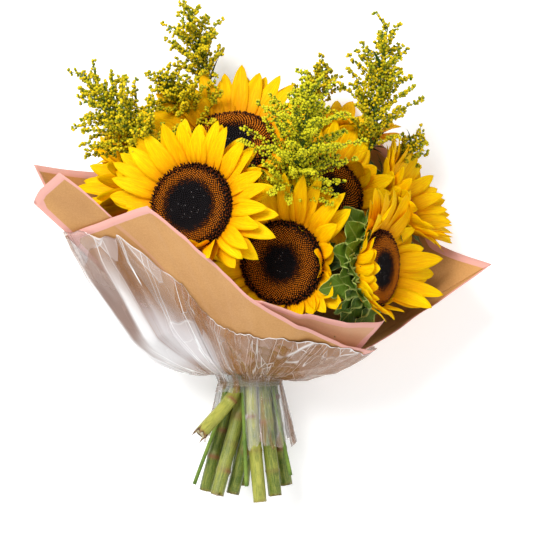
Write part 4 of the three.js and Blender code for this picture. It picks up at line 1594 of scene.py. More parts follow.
@dataclass(frozen=True)
class Blade:
    """The form of a petal, bract or leaf.

    Its middle line starts at bow, ends at -bow and turns by curl more towards its tip. Its width is
    (share + stub)^full (1 - share)^point, at most 1. Its section is cupped, ribbed and waved at the edge.
    It has half points across its upper face, and as many across its lower.
    """

    rows: int = 13
    half: int = 6
    stub: float = 0.12
    full: float = 0.55
    point: float = 0.75
    thick: float = 0.45
    bow: float = 0.0
    curl: float = 0.0
    twist: float = 0.0
    cup: float = 0.0
    ribs: float = 0.0
    wave: float = 0.0
    waves: float = 2.0
    phase: float = 0.0

    def heading(self) -> Array:
        """Returns how far the middle line turns up from its start, row by row."""
        share = np.linspace(0, 1, self.rows)
        return self.bow * (1 - 2 * share) + self.curl * share**2

    def line(self, root: Array, along: Array, up: Array, length: float) -> Array:
        """The points of the middle line: the sum of its steps, each in its heading.

        Args:
            root: Where it grows from.
            along: The way it starts out.
            up: The way its upper face looks.
            length: Its length.

        Returns:
            The points, row by row.
        """
        steps = np.stack([np.cos(self.heading()), np.sin(self.heading())], -1)
        sums = np.vstack([[0, 0], np.cumsum((steps[1:] + steps[:-1]) / 2, axis=0)])
        sums = sums * length / (self.rows - 1)
        return root + along * sums[:, :1] + up * sums[:, 1:]

    def grow(self, skin: Skin, root: Array, along: Array, up: Array, size: tuple[float, float],
             finish: int = 0, **values: float) -> None:
        """Adds the blade to a mesh, as a tube whose rings are its flat sections.

        Args:
            skin: The mesh.
            root: Where it grows from.
            along: The way it starts out.
            up: The way its upper face looks.
            size: Its length and greatest width.
            finish: Its material.
            values: Numbers for all its points.
        """
        length, width = size
        share = np.linspace(0, 1, self.rows)
        heading = self.heading()
        side = np.cross(up, along)
        normal = along * -np.sin(heading)[:, None] + up * np.cos(heading)[:, None]
        line = self.line(root, along, up, length)
        turn = self.twist * share[:, None]
        sides = side * np.cos(turn) + normal * np.sin(turn)
        normals = normal * np.cos(turn) - side * np.sin(turn)
        shape = (share + self.stub) ** self.full * np.maximum(1 - share, 0.0015) ** self.point
        wide = (shape / shape.max())[:, None]
        u = np.concatenate([np.linspace(1, -1, self.half), np.linspace(-1, 1, self.half)])[None]
        below = np.where(np.arange(2 * self.half) < self.half, 0.0, 1.0)
        s = share[:, None]
        high = self.cup * (u**2 - 0.4) * wide
        high = high + self.ribs * np.cos(3 * np.pi * u) * (1 - s) * wide
        ruffle = np.sin(2 * np.pi * self.waves * s + self.phase + np.sign(u) * 1.1)
        high = high + self.wave * u**2 * ruffle * np.sin(np.pi * np.minimum(s + 0.1, 1))
        high = high - self.thick * below * (1 - 0.7 * u**2) * (0.3 + 0.7 * wide)
        rings = line[:, None] + sides[:, None] * (u * wide * width / 2)[..., None]
        rings = rings + normals[:, None] * high[..., None]
        grid = np.ones((self.rows, 2 * self.half))
        skin.add(tube(rings), finish, along=capped(s * grid), across=capped(u * grid), **values)


# ---------------- sunflowers

# Bends that were tried in turn for each petal and bract: degrees added to its lift, share of its length.
BENDS = (
    (0, 1), (7, 1), (-8, 1), (14, 0.97), (-15, 0.95), (22, 0.93), (30, 0.88), (-20, 0.8), (38, 0.8),
    (46, 0.7), (0, 0.75), (10, 0.6), (-10, 0.6), (30, 0.6), (45, 0.5), (0, 0.45), (20, 0.35), (40, 0.3),
    (55, 0.3), (60, 0.2), (0, 0.12),
)

# Degrees added to a petal's lift, and the share of its length, until it lies inside the paper.
RAISES = (
    (0, 1), (7, 1), (14, 1), (14, 0.85), (22, 0.92), (30, 0.85), (38, 0.8), (30, 0.65), (48, 0.7), (40, 0.55),
    (60, 0.6), (50, 0.45), (70, 0.45), (60, 0.35), (80, 0.35), (60, 0.25),
)


@dataclass(frozen=True)
class Lean:
    """How a petal or bract was left, once it was bent clear of its neighbours."""

    angle: float
    lift: float
    length: float
    share: float
    width: float


@dataclass(frozen=True)
class Sunflower:
    """One sunflower: its disc, its two rings of petals, and its stem with calyx and bracts.

    centre is the middle of the disc's foot and face where it looks; disc its radius; petals how many in the
    upper and lower ring; lift how far they rise; cup a side where they rise more, and by how much. The stem
    leaves by neck and runs through its slot in the bundle to its cut foot; ruff is the lift and length of
    its bracts; folded lists sides where the petals rise still more, how wide they are, by how much, and the
    share of their length that they lose. slim is how wide a fine petal is beside the solid's, heart how much
    of the disc is dark, and late how orange the petals are.
    """

    number: int
    centre: Spot
    face: Spot
    disc: float
    petals: tuple[int, int]
    length: float
    lift: tuple[float, float]
    neck: Spot
    slot: tuple[float, float]
    foot: Spot
    cup: tuple[float, float] = (0, 0)
    ruff: tuple[float, float] = (3, 28)
    folded: tuple[tuple[float, float, float, float], ...] = ()
    slim: float = 0.76
    heart: float = 0.40
    late: float = 0.3
    florets: int = 1100
    curly: bool = False
    torn: bool = False

    ROOMS = {"petal": 3.2, "bract": 1.5}  # how far inside the paper they stay
    TOP = -22.9  # height of the stem's top under the disc's foot
    STEM = 6.0  # radius of the stem
    FLOOR = 4.0  # a bract is flattened below this height

    @property
    def place(self) -> Place:
        """Returns where the flower is carried."""
        return Place(self.centre, self.face)

    def build(self, finishes: Finishes, walls: Walls) -> None:
        """Makes the three pieces.

        Args:
            finishes: The materials.
            walls: The sheets round the flowers.
        """
        node = f"sunflower_{self.number}"
        head = self.head().made(f"{node}_florets", finishes.disc, place=self.place)
        settle(head, "disc_florets", f"{node}_disc")
        corolla = self.corolla(walls).made(f"{node}_petals_fine", finishes.petal, place=self.place)
        settle(corolla, "petals", f"{node}_petals")
        stalk = self.stalk(walls).made(f"{node}_stem_fine", finishes.stem, finishes.bract)
        settle(stalk, "green_stem", f"{node}_stem")

    def head(self) -> Skin:
        """Makes the disc: a dome with florets in a golden-angle spiral.

        The dome's height is 1.4 + 2 + 5.5 (1 - q^5) - 2.5 (1 - q^2)^2, less the florets' height, at the
        share q of the radius. Floret i stands at q = sqrt((i + 0.5) / n).

        Returns:
            The mesh, in the flower's own frame.
        """
        skin = Skin("along", "across", "tone")
        radius = self.disc - 0.8
        q = np.linspace(1, 0.02, 16)
        dome = self.height(q) - 1.2
        skin.add(turned([radius * 0.6, radius, *(radius * q)], [1.4, 1.4, *dome], 48), across=0.5)
        i = np.arange(self.florets)
        q = np.sqrt((i + 0.5) / self.florets)
        angle = i * GOLDEN_ANGLE
        rng = np.random.default_rng(SEED + self.number)
        chance = rng.uniform(0, 1, (4, self.florets))
        out = spoke(angle)
        frill = smooth(0.80, 0.92, q)
        slope = (self.height(q + 0.01) - self.height(q - 0.01)) / (0.02 * radius)
        axes = UP - out * slope[:, None] * 0.7
        axes = axes + (chance[:3].T - 0.5) * (0.16 + 0.9 * frill)[:, None]
        places = out * (radius * q)[:, None] + UP * (self.height(q) - 1.6)[:, None]
        pitch = radius * np.sqrt(np.pi / self.florets)
        middle = smooth(self.heart - 0.06, self.heart + 0.06, q)
        tall = 2.1 + 0.6 * middle * (0.6 + 0.8 * chance[2]) + 0.9 * frill * chance[3]
        wide = pitch * (0.49 - 0.05 * middle)
        bud = turned([0.62, 1.0, 0.84, 0.3], [0.0, 0.45, 0.8, 1.0], 5)
        body = scattered(bud, places, axes, np.stack([wide, tall], -1), angle)
        zone = np.interp(q, [0, self.heart, 0.86, 1], [0, 0.5, 0.86, 1])
        corners = len(bud[0])
        rise = np.tile(np.clip(bud[0][:, 2], 0, 1), self.florets)
        skin.add(body, along=rise, across=np.repeat(zone, corners), tone=np.repeat(chance[3], corners))
        return skin

    @staticmethod
    def height(q: Array) -> Array:
        """Returns the height of the disc's dome at shares q of its radius."""
        return 3.4 + 5.5 * (1 - q**5) - 2.5 * (1 - q**2) ** 2

    def found(self, tries: list[Lean], root: float, base: float, droop: float, corners: Array) -> Lean:
        """Finds which bend the solid has.

        Args:
            tries: The bends.
            root: The radius at which the blade grows.
            base: Its height there.
            droop: How far its tip hangs.
            corners: The solid's corners, in the flower's own frame.

        Returns:
            The bend whose tip is a corner of the solid.
        """
        angle, lift, length = np.array([(t.angle, t.lift, t.length) for t in tries]).T
        out = spoke(angle)
        far = root + np.cos(lift) * length + np.sin(lift) * droop
        high = base + np.sin(lift) * length - np.cos(lift) * droop
        return tries[nearest(out * far[:, None] + UP * high[:, None], corners)[0]]

    def corolla(self, walls: Walls) -> Skin:
        """Makes both rings of petals, two for each petal of the solid and where it was bent to.

        Args:
            walls: The sheets round the flowers.

        Returns:
            The mesh, in the flower's own frame.
        """
        skin = Skin("along", "across", "tone")
        corners = self.place.back(corners_of(f"sunflower_{self.number}_petals"))
        dice, looks = Dice(2 * SEED + self.number - 1), np.random.default_rng(7 * SEED + self.number)
        hub = self.disc - 9
        skin.add(turned([hub, self.disc - 1.6, self.disc - 1.4, hub], [-2.2, -2.0, 1.0, 1.2], 40), along=0.0)
        for ring, base in enumerate((1.0, -1.6)):
            for i in range(self.petals[ring]):
                bent = self.bent(ring, i, base, dice, corners)
                for half in (-1, 1):
                    self.petal(skin, bent, half * np.pi / 2 / self.petals[ring], base, looks, walls)
        return skin

    def bent(self, ring: int, i: int, base: float, dice: Dice, corners: Array) -> Lean:
        """Finds how one of the solid's petals lies.

        Args:
            ring: 0 for the upper ring, 1 for the lower.
            i: The petal's number in its ring.
            base: The ring's height.
            dice: The draws that placed the solid's petals.
            corners: The solid's corners.

        Returns:
            How it lies, with its whole length in place of a shortened one.
        """
        n = self.petals[ring]
        slot = 2 * np.pi * (i + ring / 2) / n
        lean = self.cup[1] * np.cos(slot - np.radians(self.cup[0])) + 8 * (dice.roll() - 0.5)
        angle = slot + 0.06 * (dice.roll() - 0.5)
        width = 20 * (self.disc / 37) * (14 / n) * (0.92 + 0.14 * dice.roll())
        length = self.length * (0.9 + 0.18 * dice.roll())
        droop = 3 * dice.roll()
        tries = []
        for turn, share in BENDS:
            lift = min(np.radians(self.lift[ring] + lean + turn), np.radians(74))
            tries.append(Lean(angle, lift, length * share, share, width))
        return self.found(tries, self.disc + 0.5, base, droop, corners)

    def petal(self, skin: Skin, bent: Lean, aside: float, base: float, looks: np.random.Generator,
              walls: Walls) -> None:
        """Adds one petal, raised and shortened until it lies inside the paper.

        Args:
            skin: The mesh.
            bent: How the solid's petal lies.
            aside: How far it is turned from that one, in radians.
            base: The ring's height.
            looks: The draws for the fine form.
            walls: The sheets round the flower.
        """
        chance = looks.uniform(-1, 1, 11)
        angle = bent.angle + aside + 0.05 * chance[8]
        out = spoke(angle)
        squeezed = 1 - min(bent.share, 1)
        blade = Blade(
            bow=0.14 + 0.12 * chance[0], curl=-0.2 + 0.40 * chance[1] + 0.9 * squeezed,
            twist=0.35 * chance[2], cup=1.5 + 0.8 * chance[3], ribs=0.34, wave=0.6 + 0.35 * chance[4],
            waves=1.2, phase=3 * chance[5], stub=0.22, full=0.58 + 0.08 * chance[6],
            point=0.72 + 0.10 * chance[6],
        )
        length = max(bent.length, 0.62 * bent.length / bent.share) * (1.0 + 0.09 * chance[9]) + 2
        risen = 0.0
        for side, wide, more, lost in self.folded:
            low, high = np.cos(np.radians([wide, wide / 2]))
            facing = smooth(low, high, np.cos(angle - np.radians(side)))
            risen += more * facing
            length *= 1 - lost * facing
        root = out * (self.disc - 1.5) + UP * (base + 0.5 * chance[10])
        turn, start = self.place.turn(), self.place.carry(root[None])[0]
        for more, share in RAISES:
            along, up = tilted(out, bent.lift + np.radians(more + 4 * chance[7] + risen))
            line = blade.line(start, turn @ along, turn @ up, length * share)
            if walls.hold(line[4::2], self.ROOMS["petal"]):
                break
        size = (length * share, bent.width * self.slim * (1 + 0.12 * chance[6]))
        blade.grow(skin, root, along, up, size, tone=self.late + 0.16 * chance[7])

    def stalk(self, walls: Walls) -> Skin:
        """Makes the stem, the calyx and the bracts.

        Args:
            walls: The sheets round the flowers.

        Returns:
            The mesh, in the bunch's frame.
        """
        skin = Skin("along", "across", "tone", "scar", "cut")
        held = TIE + np.array([self.slot[0], 0, self.slot[1]])
        ways = self.place.carry(np.array([[0, 0, self.TOP + 6], [0, 0, self.TOP - 12]]))
        knots = [*ways, self.neck, held + (0, 8, 0), held - (0, 8, 0), self.foot]
        self.rod_and_cut(skin, KnotCurve(np.array(knots)))
        radius, least = min(30.0, self.disc - 4), 6.1
        t = np.linspace(0, 1, 10)
        cup = turned([*(least + (radius - least) * t**0.6), radius * 0.5], [*(self.TOP + 20 * t), -2.9], 36)
        skin.add((self.place.carry(cup[0]), cup[1]), 1, along=0.2, across=0.5, tone=0.4)
        self.bracts(skin, radius - 1, walls)
        return skin

    def rod_and_cut(self, skin: Skin, curve: KnotCurve) -> None:
        """Adds the stem: a ribbed rod, thicker at its scars, whose last rings close over the cut.

        Its radius is 6 (1 + ribs + scars), and the cut is a shallow cup with a lip. A scar is a swelling
        exp(-(distance / 2)^2) along the stem, stronger on its own side.

        Args:
            skin: The mesh.
            curve: The stem's way.
        """
        rng = np.random.default_rng(3 * SEED + self.number)
        scar_count = 9
        sides, rows = 20, 86
        t = curve.even(np.linspace(0, 1, rows))
        line = curve.at(t)
        run = walked(line)
        to_foot = run[-1] - run
        angle = once_round(sides)
        scars = np.cumsum(rng.uniform(18, 46, scar_count)) + 4
        sides_of = rng.uniform(0, 2 * np.pi, scar_count)
        near = np.exp(-((to_foot[:, None] - scars) / 2.0) ** 2)
        facing = np.exp(-((1 - np.cos(angle[:, None] - sides_of)) / 0.5) ** 2)
        scar = np.einsum("rs,as->ra", near, facing)
        ribs = 0.035 * np.cos(7 * angle) + 0.02 * np.cos(4 * angle + rng.uniform(0, 6))
        radius = self.STEM * (1 + ribs[None] + 0.16 * scar + 0.07 * near.sum(1)[:, None])
        down = unit(line[-1] - line[-2])
        torn = 5.0 if self.torn else 0.5
        jag = torn * (0.5 * np.sin(3 * angle + 1) + 0.5 * np.sin(7 * angle) + rng.uniform(-0.6, 0.6, sides))
        rings = rod(line, radius, sides)[0][:-2].reshape(rows, sides, 3)
        last, middle = rings[-1], line[-1]
        ends = [last + down * jag[:, None] * (1 if self.torn else 0.6)]
        for share, sink in ((0.9, 0.2), (0.72, 0.9), (0.4, 1.2), (0.12, 1.0)):
            ends.append(middle + (last - middle) * share + down * (jag[:, None] * share**2 * 0.5 - sink))
        rings = np.concatenate([rings, ends])
        more = np.zeros(len(ends))
        cut = np.concatenate([np.zeros(rows), [0.0, 0.15, 0.32, 0.5, 0.6]])
        grid = np.ones((len(rings), sides))
        values = {
            "along": np.concatenate([run / 60, more + run[-1] / 60])[:, None] * grid,
            "across": np.cos(angle)[None] * grid * 2,
            "scar": np.concatenate([scar + 0.35 * near.sum(1)[:, None], np.zeros((len(ends), sides))]),
            "cut": cut[:, None] * grid,
        }
        edge = np.exp(-((np.concatenate([to_foot, more])) / 1.6) ** 2)[:, None] * (0.9 if self.torn else 0.45)
        values["scar"] = np.clip(np.maximum(values["scar"], edge * grid), 0, 1)
        tone = rng.uniform(0.15, 0.85)
        skin.add(tube(rings), 0, tone=tone, **{name: capped(v) for name, v in values.items()})

    def bracts(self, skin: Skin, root: float, walls: Walls) -> None:
        """Adds the bracts: nine where the solid has them, and a whorl of smaller ones behind, or three.

        Args:
            skin: The mesh.
            root: The radius at which they grow.
            walls: The sheets round the flowers.
        """
        dice, looks = Dice(SEED + self.number - 1), np.random.default_rng(11 * SEED + self.number)
        corners = self.place.back(corners_of(f"sunflower_{self.number}_stem"))
        count = 9
        for i in range(count):
            slot = 2 * np.pi * i / count
            angle = slot + 0.2 * (dice.roll() - 0.5)
            length = self.ruff[1] * (0.85 + 0.3 * dice.roll())
            lift = self.ruff[0] + 8 * (dice.roll() - 0.5)
            tries = []
            for more, share in BENDS:
                raised = np.radians(min(lift + more, 10))
                tries.append(Lean(angle, raised, length * share, share, 2 * np.pi * root / count))
            bent = self.found(tries, root, -5, 0, corners)
            for whorl in range(4 if self.curly else 2):
                self.bract(skin, bent, root, whorl, slot, looks, walls)

    def bract(self, skin: Skin, bent: Lean, root: float, whorl: int, slot: float, looks: np.random.Generator,
              walls: Walls) -> None:
        """Adds one bract; near the table it is flattened, a height z < 4 becoming 4 exp(z / 4 - 1).

        Args:
            skin: The mesh.
            bent: The solid's bract, or the one beside it for a whorl behind.
            root: The radius at which it grows.
            whorl: 0 for the front whorl, more for those behind.
            slot: Its slot on the calyx.
            looks: The draws for its form.
            walls: The sheets round the flower.
        """
        chance = looks.uniform(-1, 1, 6)
        curly = 1.0 if self.curly and np.cos(slot - np.pi) > -0.3 else 0.0
        lift = bent.lift + (0.38 if curly else -0.35) * whorl + curly * 0.15 * chance[5]
        out, turn = spoke(bent.angle + whorl * np.pi / 9), self.place.turn()
        along, up = (turn @ way for way in tilted(out, lift))
        back = 1 + (6 - 5 * curly) * whorl
        high = -5 + (3.0 - 1.5 * whorl if curly else -5 * whorl)
        start = self.place.carry((out * (root - back + 2.5 * curly) + UP * high)[None])[0]
        blade = Blade(
            rows=16, half=7, stub=0.3, full=0.35, point=1.0 - 0.3 * curly, thick=0.5, bow=0.15 + 0.2 * curly,
            cup=1.2 + 2.0 * curly, curl=-0.25 + 0.5 * chance[0] + curly * (0.7 * chance[1] + 0.9),
            twist=0.4 * chance[2] * (1 + curly), wave=0.9 + 2.0 * curly, waves=2.2 + 0.6 * curly,
            phase=3 * chance[3],
        )
        long = max(bent.length, 16.0 + 14.0 * curly)
        size = (long * (1.1 - (0.2 - 0.1 * curly) * whorl), bent.width * (1.05 + 0.35 * curly))
        if whorl == 0 or walls.hold(blade.line(start, along, up, size[0])[3::3], self.ROOMS["bract"]):
            blade.grow(skin, start, along, up, size, finish=1, tone=0.5 + 0.4 * chance[4])
            low = skin.points[-1][:, 2]
            skin.points[-1][:, 2] = np.where(low < self.FLOOR, self.FLOOR * np.exp(low / self.FLOOR - 1), low)


SUNFLOWERS = (
    Sunflower(1, (-62, 50, 170), (-0.33, 0.13, 0.93), 37, (14, 12), 39, (24, 14), (-42, 34, 118), (-13, 12),
              (-59, -150, 72), heart=0.57, late=0.22, florets=1800, torn=True),
    Sunflower(2, (14, 3, 142), (-0.3, -0.05, 0.95), 37, (14, 12), 38, (32, 22), (18, -18, 86), (0, 13.5),
              (-6, -213, 60), cup=(180, 20),
              folded=((0, 42, 30, 0.5), (-65, 55, -12, -0.4), (52, 60, 2, -0.28)), late=0.25, florets=1800),
    Sunflower(3, (94, -2, 134), (0.84, -0.08, 0.54), 34, (12, 12), 41, (48, 38), (52, -10, 88), (13, 12),
              (8, -208, 54), cup=(180, 26), ruff=(-45, 33),
              folded=((180, 78, 6, 0.3), (95, 78, -28, 0.05), (-130, 78, 12, 0.4), (0, 78, 14, 0)), slim=0.74,
              heart=0.45, late=0.22, florets=1800, curly=True),
    Sunflower(4, (-30, 108, 98), (-0.05, 0.68, 0.73), 39, (14, 12), 42, (26, 15), (-28, 60, 54), (-6.5, 1),
              (-45, -207, 58), heart=0.45, late=0.4),
    Sunflower(5, (51, 63, 112), (0.35, 0.32, 0.88), 35, (12, 10), 40, (24, 13), (34, 38, 64), (6.5, 1),
              (-31, -208, 42), late=0.25),
    Sunflower(6, (-118, 74, 88), (-0.93, 0.25, 0.25), 30, (12, 10), 42, (54, 44), (-70, 48, 70), (-19.5, -1),
              (-56, -206, 36), late=0.1),
    Sunflower(7, (118, 56, 74), (0.84, 0.42, 0.34), 29, (12, 10), 35, (56, 46), (80, 22, 50), (19.5, -1),
              (18, -201, 33), late=0.2),
    Sunflower(8, (62, 120, 48), (0.2, 0.96, 0.18), 28, (10, 9), 34, (36, 25), (56, 72, 34), (0.5, -11.5),
              (-22, -203, 17), late=0.45),
    Sunflower(9, (-95, 105, 40), (-0.3, 0.8, 0.5), 29, (10, 9), 35, (36, 25), (-82, 50, 24), (-12.2, -11.6),
              (-43, -199, 6.3), late=0.35),
)


# ---------------- goldenrod


@dataclass(frozen=True)
class Twig:
    """A side twig: it starts at root, goes out by its length and arches up by a share of it."""

    root: Array
    out: Array
    up: Array
    length: float

    ARCH = 0.22

    def middle(self, t: Array) -> Array:
        """Returns its points: root + out length t + up length arch t (2 - t)."""
        t = np.asarray(t)[..., None]
        return self.root + self.length * (self.out * t + self.up * self.ARCH * t * (2 - t))


@dataclass(frozen=True)
class Goldenrod:
    """One spray of goldenrod.

    slot is its place in the bundle; way its main stem's way to the tip; bare the share of it without twigs;
    twigs how many the solid has, and reach the length of the lowest. more is how many fine twigs are added
    between them, thick how close the buds sit, pale how pale they are, spread how far twigs lean out, and
    wide how much longer the fine ones are. A fine twig comes back by no more than back and stays below
    ceiling.
    """

    number: int
    slot: tuple[float, float]
    way: tuple[Spot, ...]
    foot: Spot
    bare: float
    twigs: int
    reach: float
    more: int = 30
    thick: float = 1.0
    pale: float = 0.0
    spread: tuple[float, float] = (36, 62)
    wide: float = 1.0
    back: float = 13.0
    ceiling: float = 226.0

    LOST_DRAWS = 21  # the solid's draws for the buds of one twig
    ROOMS = {"twig": 4.0, "leaf": 3.0}  # how far inside the paper they stay

    def build(self, finishes: Finishes, walls: Walls) -> None:
        """Makes the spray.

        Args:
            finishes: The materials.
            walls: The sheets round it.
        """
        node = f"goldenrod_{self.number}"
        skin = Skin("along", "across", "tone")
        held = TIE + np.array([self.slot[0], 0, self.slot[1]])
        tips = [*reversed(self.way), held + (0, 8, 0)]
        whole = KnotCurve(np.array([*tips, held - (0, 8, 0), self.foot]))
        rows = 90
        line = whole.at(whole.even(np.linspace(0, 1, rows)))
        skin.add(rod(line, 0.55 + 1.2 * smooth(0, 0.5, np.linspace(0, 1, rows)), 8), 0)
        curve = KnotCurve(np.array(tips))
        rng = np.random.default_rng(5 * SEED + self.number)
        for twig in [*self.solid_twigs(curve), *self.fine_twigs(curve, rng, walls)]:
            self.branch(skin, twig, rng)
        self.leaves(skin, curve, rng, walls)
        settle(skin.made(f"{node}_fine", finishes.twig, finishes.bud, finishes.leaf), "goldenrod", node)

    @staticmethod
    def frame_at(curve: KnotCurve, t: float) -> tuple[Array, Array, Array, Array]:
        """Returns the point of the main stem at a share of its upper length, and its three directions."""
        place = curve.even(t)
        along = -curve.tangent(place)
        across = unit(np.cross(UP, along))
        return curve.at(place), along, across, np.cross(along, across)

    def leaving(self, curve: KnotCurve, t: float, angle: float, spread: float, length: float) -> Twig:
        """A twig that leaves the main stem.

        Args:
            curve: The stem's upper way, from its tip.
            t: The share of it where the twig grows.
            angle: Its side.
            spread: How far it leans away, in radians.
            length: Its length.

        Returns:
            The twig.
        """
        at, along, across, over = self.frame_at(curve, t)
        away = across * np.cos(angle) + over * np.sin(angle)
        out = away * np.sin(spread) + along * np.cos(spread)
        return Twig(at, out, unit(along - out * (along @ out)), length)

    def solid_twigs(self, curve: KnotCurve) -> list[Twig]:
        """Finds the twigs that the solid has, by drawing each attempt again and looking for its tip.

        Args:
            curve: The stem's upper way, from its tip.

        Returns:
            The twigs.
        """
        dice = Dice(3 * SEED + self.number - 1)
        corners = corners_of(f"goldenrod_{self.number}")
        found = []
        for i in range(self.twigs):
            share = i / self.twigs
            for attempt in range(6):
                angle = 2.4 * i + attempt * np.pi / 3 + 0.4 * dice.roll()
                spread = np.radians(40 + 10 * dice.roll())
                length = self.reach * (0.35 + 0.65 * share**0.7) * (0.85 + 0.3 * dice.roll())
                for _ in range(self.LOST_DRAWS):
                    dice.roll()
                length *= 0.6 if attempt > 2 else 1
                twig = self.leaving(curve, (1 - self.bare) * (0.06 + 0.94 * share), angle, spread, length)
                if nearest(twig.middle(np.array([1.0])), corners)[1] < 0.4:
                    found.append(twig)
                    break
        return found

    def fine_twigs(self, curve: KnotCurve, rng: np.random.Generator, walls: Walls) -> list[Twig]:
        """Grows the twigs between the solid's, a golden angle apart, each as long as there is room for.

        Args:
            curve: The stem's upper way, from its tip.
            rng: The draws for their lengths.
            walls: The sheets round them.

        Returns:
            The twigs.
        """
        found = []
        for i in range(self.more):
            share = ((i + 0.3) / self.more) ** 0.72
            length = (6 + (self.reach * self.wide - 6) * smooth(0, 0.7, share)) * rng.uniform(0.65, 1.0)
            spread = np.radians(rng.uniform(*self.spread))
            t = (1 - self.bare) * (0.01 + 0.99 * share)
            for shorter in (1, 0.75, 0.5, 0.3):
                twig = self.leaving(curve, t, GOLDEN_ANGLE * i + 1.1, spread, length * shorter)
                ends = twig.middle(np.array([0.5, 1.0]))
                clear = ends[1, 2] < self.ceiling and ends[1, 1] > twig.root[1] - self.back
                if clear and walls.hold(ends, self.ROOMS["twig"]):
                    found.append(twig)
                    break
        return found

    def branch(self, skin: Skin, twig: Twig, rng: np.random.Generator) -> None:
        """Adds a twig: a thin arching rod, with stalks along both its sides that bear three buds each.

        Stalk j leaves at its share t of the twig, by turns to each side, and is 2 + 4.8 (1 - t) long. Bud b
        sits a third of the stalk further back than the last one, and stands off to its own side.

        Args:
            skin: The mesh.
            twig: The twig.
            rng: The draws for its buds.
        """
        skin.add(rod(twig.middle(np.linspace(0, 1, 7)), np.linspace(0.5, 0.25, 7), 4), 0)
        n = max(int(twig.length * 0.32 * self.thick), 3)
        t = np.clip(np.linspace(0.12, 1.0, n) + rng.uniform(-0.03, 0.03, n), 0, 1)
        side = unit(np.cross(twig.out, twig.up))
        turn = np.pi * np.arange(n) + rng.uniform(-0.9, 0.9, n)
        ways = unit(twig.out * 0.75 + side * np.cos(turn)[:, None] * 0.8
                    + twig.up * (0.35 + 0.5 * np.sin(turn) + 0.2 * rng.uniform(-1, 1, n))[:, None])
        long = (2.0 + 4.8 * (1 - t)) * rng.uniform(0.6, 1.15, n)
        feet = twig.middle(t)
        stalk = turned([0.24, 0.2], [0.0, 1.0], 3)
        skin.add(scattered(stalk, feet, ways, np.stack([np.ones(n), long], -1), np.zeros(n)), 0)
        buds = 3
        count = buds * n
        b = np.tile(np.arange(buds), n)
        ways, feet, long = (np.repeat(v, buds, axis=0) for v in (ways, feet, long))
        chance = rng.uniform(0, 1, (6, count))
        off = unit(np.cross(ways, chance[:3].T - 0.5)) * (0.2 + 1.3 * (b > 0))[:, None]
        places = feet + ways * (long * (1 - 0.36 * b) + 0.4)[:, None] + off
        axes = unit(ways + off * 0.7)
        bud = turned([0.40, 0.95, 1.0, 0.42], [0.0, 0.28, 0.66, 1.0], 6)
        wide = (1.06 + 0.32 * chance[3]) * (1 - 0.17 * self.pale)
        sizes = np.stack([wide, wide * (2.0 + 0.5 * chance[4])], -1)
        body = scattered(bud, places - axes * 1.0, axes, sizes, chance[5] * 6)
        tone = np.repeat(chance[5], len(bud[0]))
        skin.add(body, 1, along=np.tile(bud[0][:, 2], count), across=self.pale, tone=tone)

    def leaves(self, skin: Skin, curve: KnotCurve, rng: np.random.Generator, walls: Walls) -> None:
        """Adds the narrow leaves of the main stem, below and among the twigs.

        Args:
            skin: The mesh.
            curve: The stem's upper way, from its tip.
            rng: The draws for their form.
            walls: The sheets round them.
        """
        for i in range(9):
            t = (1 - self.bare) * (0.35 + 0.16 * i)
            angle = GOLDEN_ANGLE * i + rng.uniform(0, 1)
            leaf = self.leaving(curve, min(t, 0.95), angle, np.radians(rng.uniform(28, 45)), 0)
            way = (leaf.root, leaf.out, leaf.up)
            blade = Blade(rows=10, half=4, stub=0.2, full=0.5, point=1.0, thick=0.3, cup=0.5,
                          curl=-0.5 + 0.5 * rng.uniform(-1, 1), twist=0.5 * rng.uniform(-1, 1))
            size = (rng.uniform(20, 32), rng.uniform(3.0, 4.6))
            if walls.hold(blade.line(*way, size[0])[3::2], self.ROOMS["leaf"]):
                blade.grow(skin, *way, size, finish=2, tone=0.5)


SPRAYS = (
    Goldenrod(1, (-21.2, 7.3), ((-75, 15, 96), (-102, 96, 128), (-130, 130, 132), (-157, 166, 122)),
              (-66, -199, 45), 0.62, 9, 54, more=60, spread=(40, 75), wide=1.1),
    Goldenrod(2, (-1.8, -19.5), ((-48, 20, 14), (-50, 98, 34), (-70, 138, 72), (-96, 170, 96)),
              (-31, -190, 5), 0.72, 7, 44, more=52, spread=(40, 75), wide=1.15),
    Goldenrod(3, (6.4, -18.9), ((-24, 20, 12), (-42, 120, 20), (-55, 168, 40), (-69, 231, 84)),
              (-8, -194, 6), 0.76, 9, 38, more=34, spread=(42, 70), wide=1.2),
    Goldenrod(4, (-6.4, 18.4), ((4, -20, 84), (12, 50, 128), (27, 88, 172), (36, 150, 204)),
              (-18, -198, 68), 0.6, 14, 58, more=56, thick=1.2, pale=0.8, spread=(48, 80), wide=1.25),
    Goldenrod(5, (20.8, 9), ((50, -18, 50), (84, 66, 66), (95, 132, 94), (107, 212, 98)),
              (22, -190, 52), 0.66, 10, 48, more=48, spread=(45, 72), wide=1.1),
    Goldenrod(6, (14, -12), ((16, 10, 9), (26, 84, 14), (36, 142, 34), (52, 182, 62)),
              (4, -196, 14), 0.8, 5, 34, more=24),
    Goldenrod(7, (21.5, -9.5), ((60, 0, 24), (98, 66, 34), (122, 96, 46), (140, 118, 60)),
              (20, -186, 18), 0.8, 4, 30, more=20),
)


# ---------------- the studio


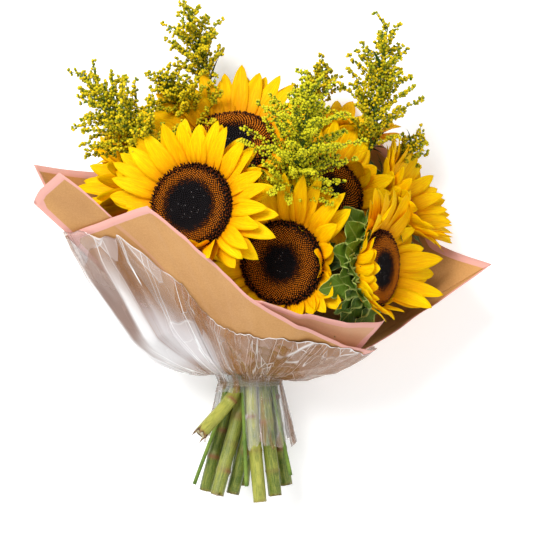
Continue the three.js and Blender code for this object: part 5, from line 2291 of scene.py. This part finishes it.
@dataclass(frozen=True)
class Studio:
    """A pale floor, soft light and a camera that looks straight down."""

    camera_height: float = 1.5
    focal_length: float = 107.46
    sensor: float = 36.0
    floor_size: float = 6.0
    sky: float = 0.45
    middle: float = 0.08  # height that the lights look at

    def build(self) -> None:
        """Makes the floor, the lights and the camera."""
        self.camera()
        self.floor()
        self.light("key", (-0.9, 1.1, 1.9), 1.0, 52.0)
        self.light("fill", (1.4, -0.6, 1.7), 1.6, 12.0)
        self.light("front", (-0.5, -1.6, 1.2), 1.4, 9.0)
        world = bpy.data.worlds.new("studio")
        world.use_nodes = True
        background = world.node_tree.nodes["Background"]
        background.inputs["Color"].default_value = (1.0, 1.0, 1.0, 1.0)
        background.inputs["Strength"].default_value = self.sky
        bpy.context.scene.world = world
        bpy.context.scene.view_settings.view_transform = "Standard"

    def camera(self) -> None:
        """Makes the camera."""
        data = bpy.data.cameras.new("camera")
        data.lens, data.sensor_width = self.focal_length, self.sensor
        data.clip_start, data.clip_end = 0.05, 20.0
        made = placed("camera", data)
        made.location = (0.0, 0.0, self.camera_height)
        bpy.context.scene.camera = made

    def floor(self) -> None:
        """Makes the floor, just below the table's height."""
        half = self.floor_size / 2 / MM
        corners = np.array([[-half, -half, 0], [half, -half, 0], [half, half, 0], [-half, half, 0]])
        skin = Skin()
        skin.add((corners - UP * 0.3, np.array([[0, 1, 2, 3]])))
        skin.made("floor", FloorFinish().made())

    def light(self, name: str, place: Spot, size: float, power: float) -> None:
        """Makes a soft square light that looks at the bunch.

        Args:
            name: Its name.
            place: Where it hangs, in metres.
            size: Its side, in metres.
            power: Its power, in watts.
        """
        data = bpy.data.lights.new(name, "AREA")
        data.shape, data.size, data.energy = "SQUARE", size, power
        made = placed(name, data)
        made.location = place
        way = Vector(place) - Vector((0, 0, self.middle))
        made.rotation_euler = way.to_track_quat("Z", "Y").to_euler()


def main() -> None:
    """Builds the studio and every sub-assembly."""
    logging.basicConfig(level=logging.INFO, format="%(name)s: %(message)s")
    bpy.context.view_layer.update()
    Studio().build()
    finishes = Finishes()
    walls = Wrap().build(finishes)
    Film().build(finishes)
    Band().build(finishes)
    for sunflower in SUNFLOWERS:
        sunflower.build(finishes, walls)
    for spray in SPRAYS:
        spray.build(finishes, walls)


if __name__ == "__main__":
    main()
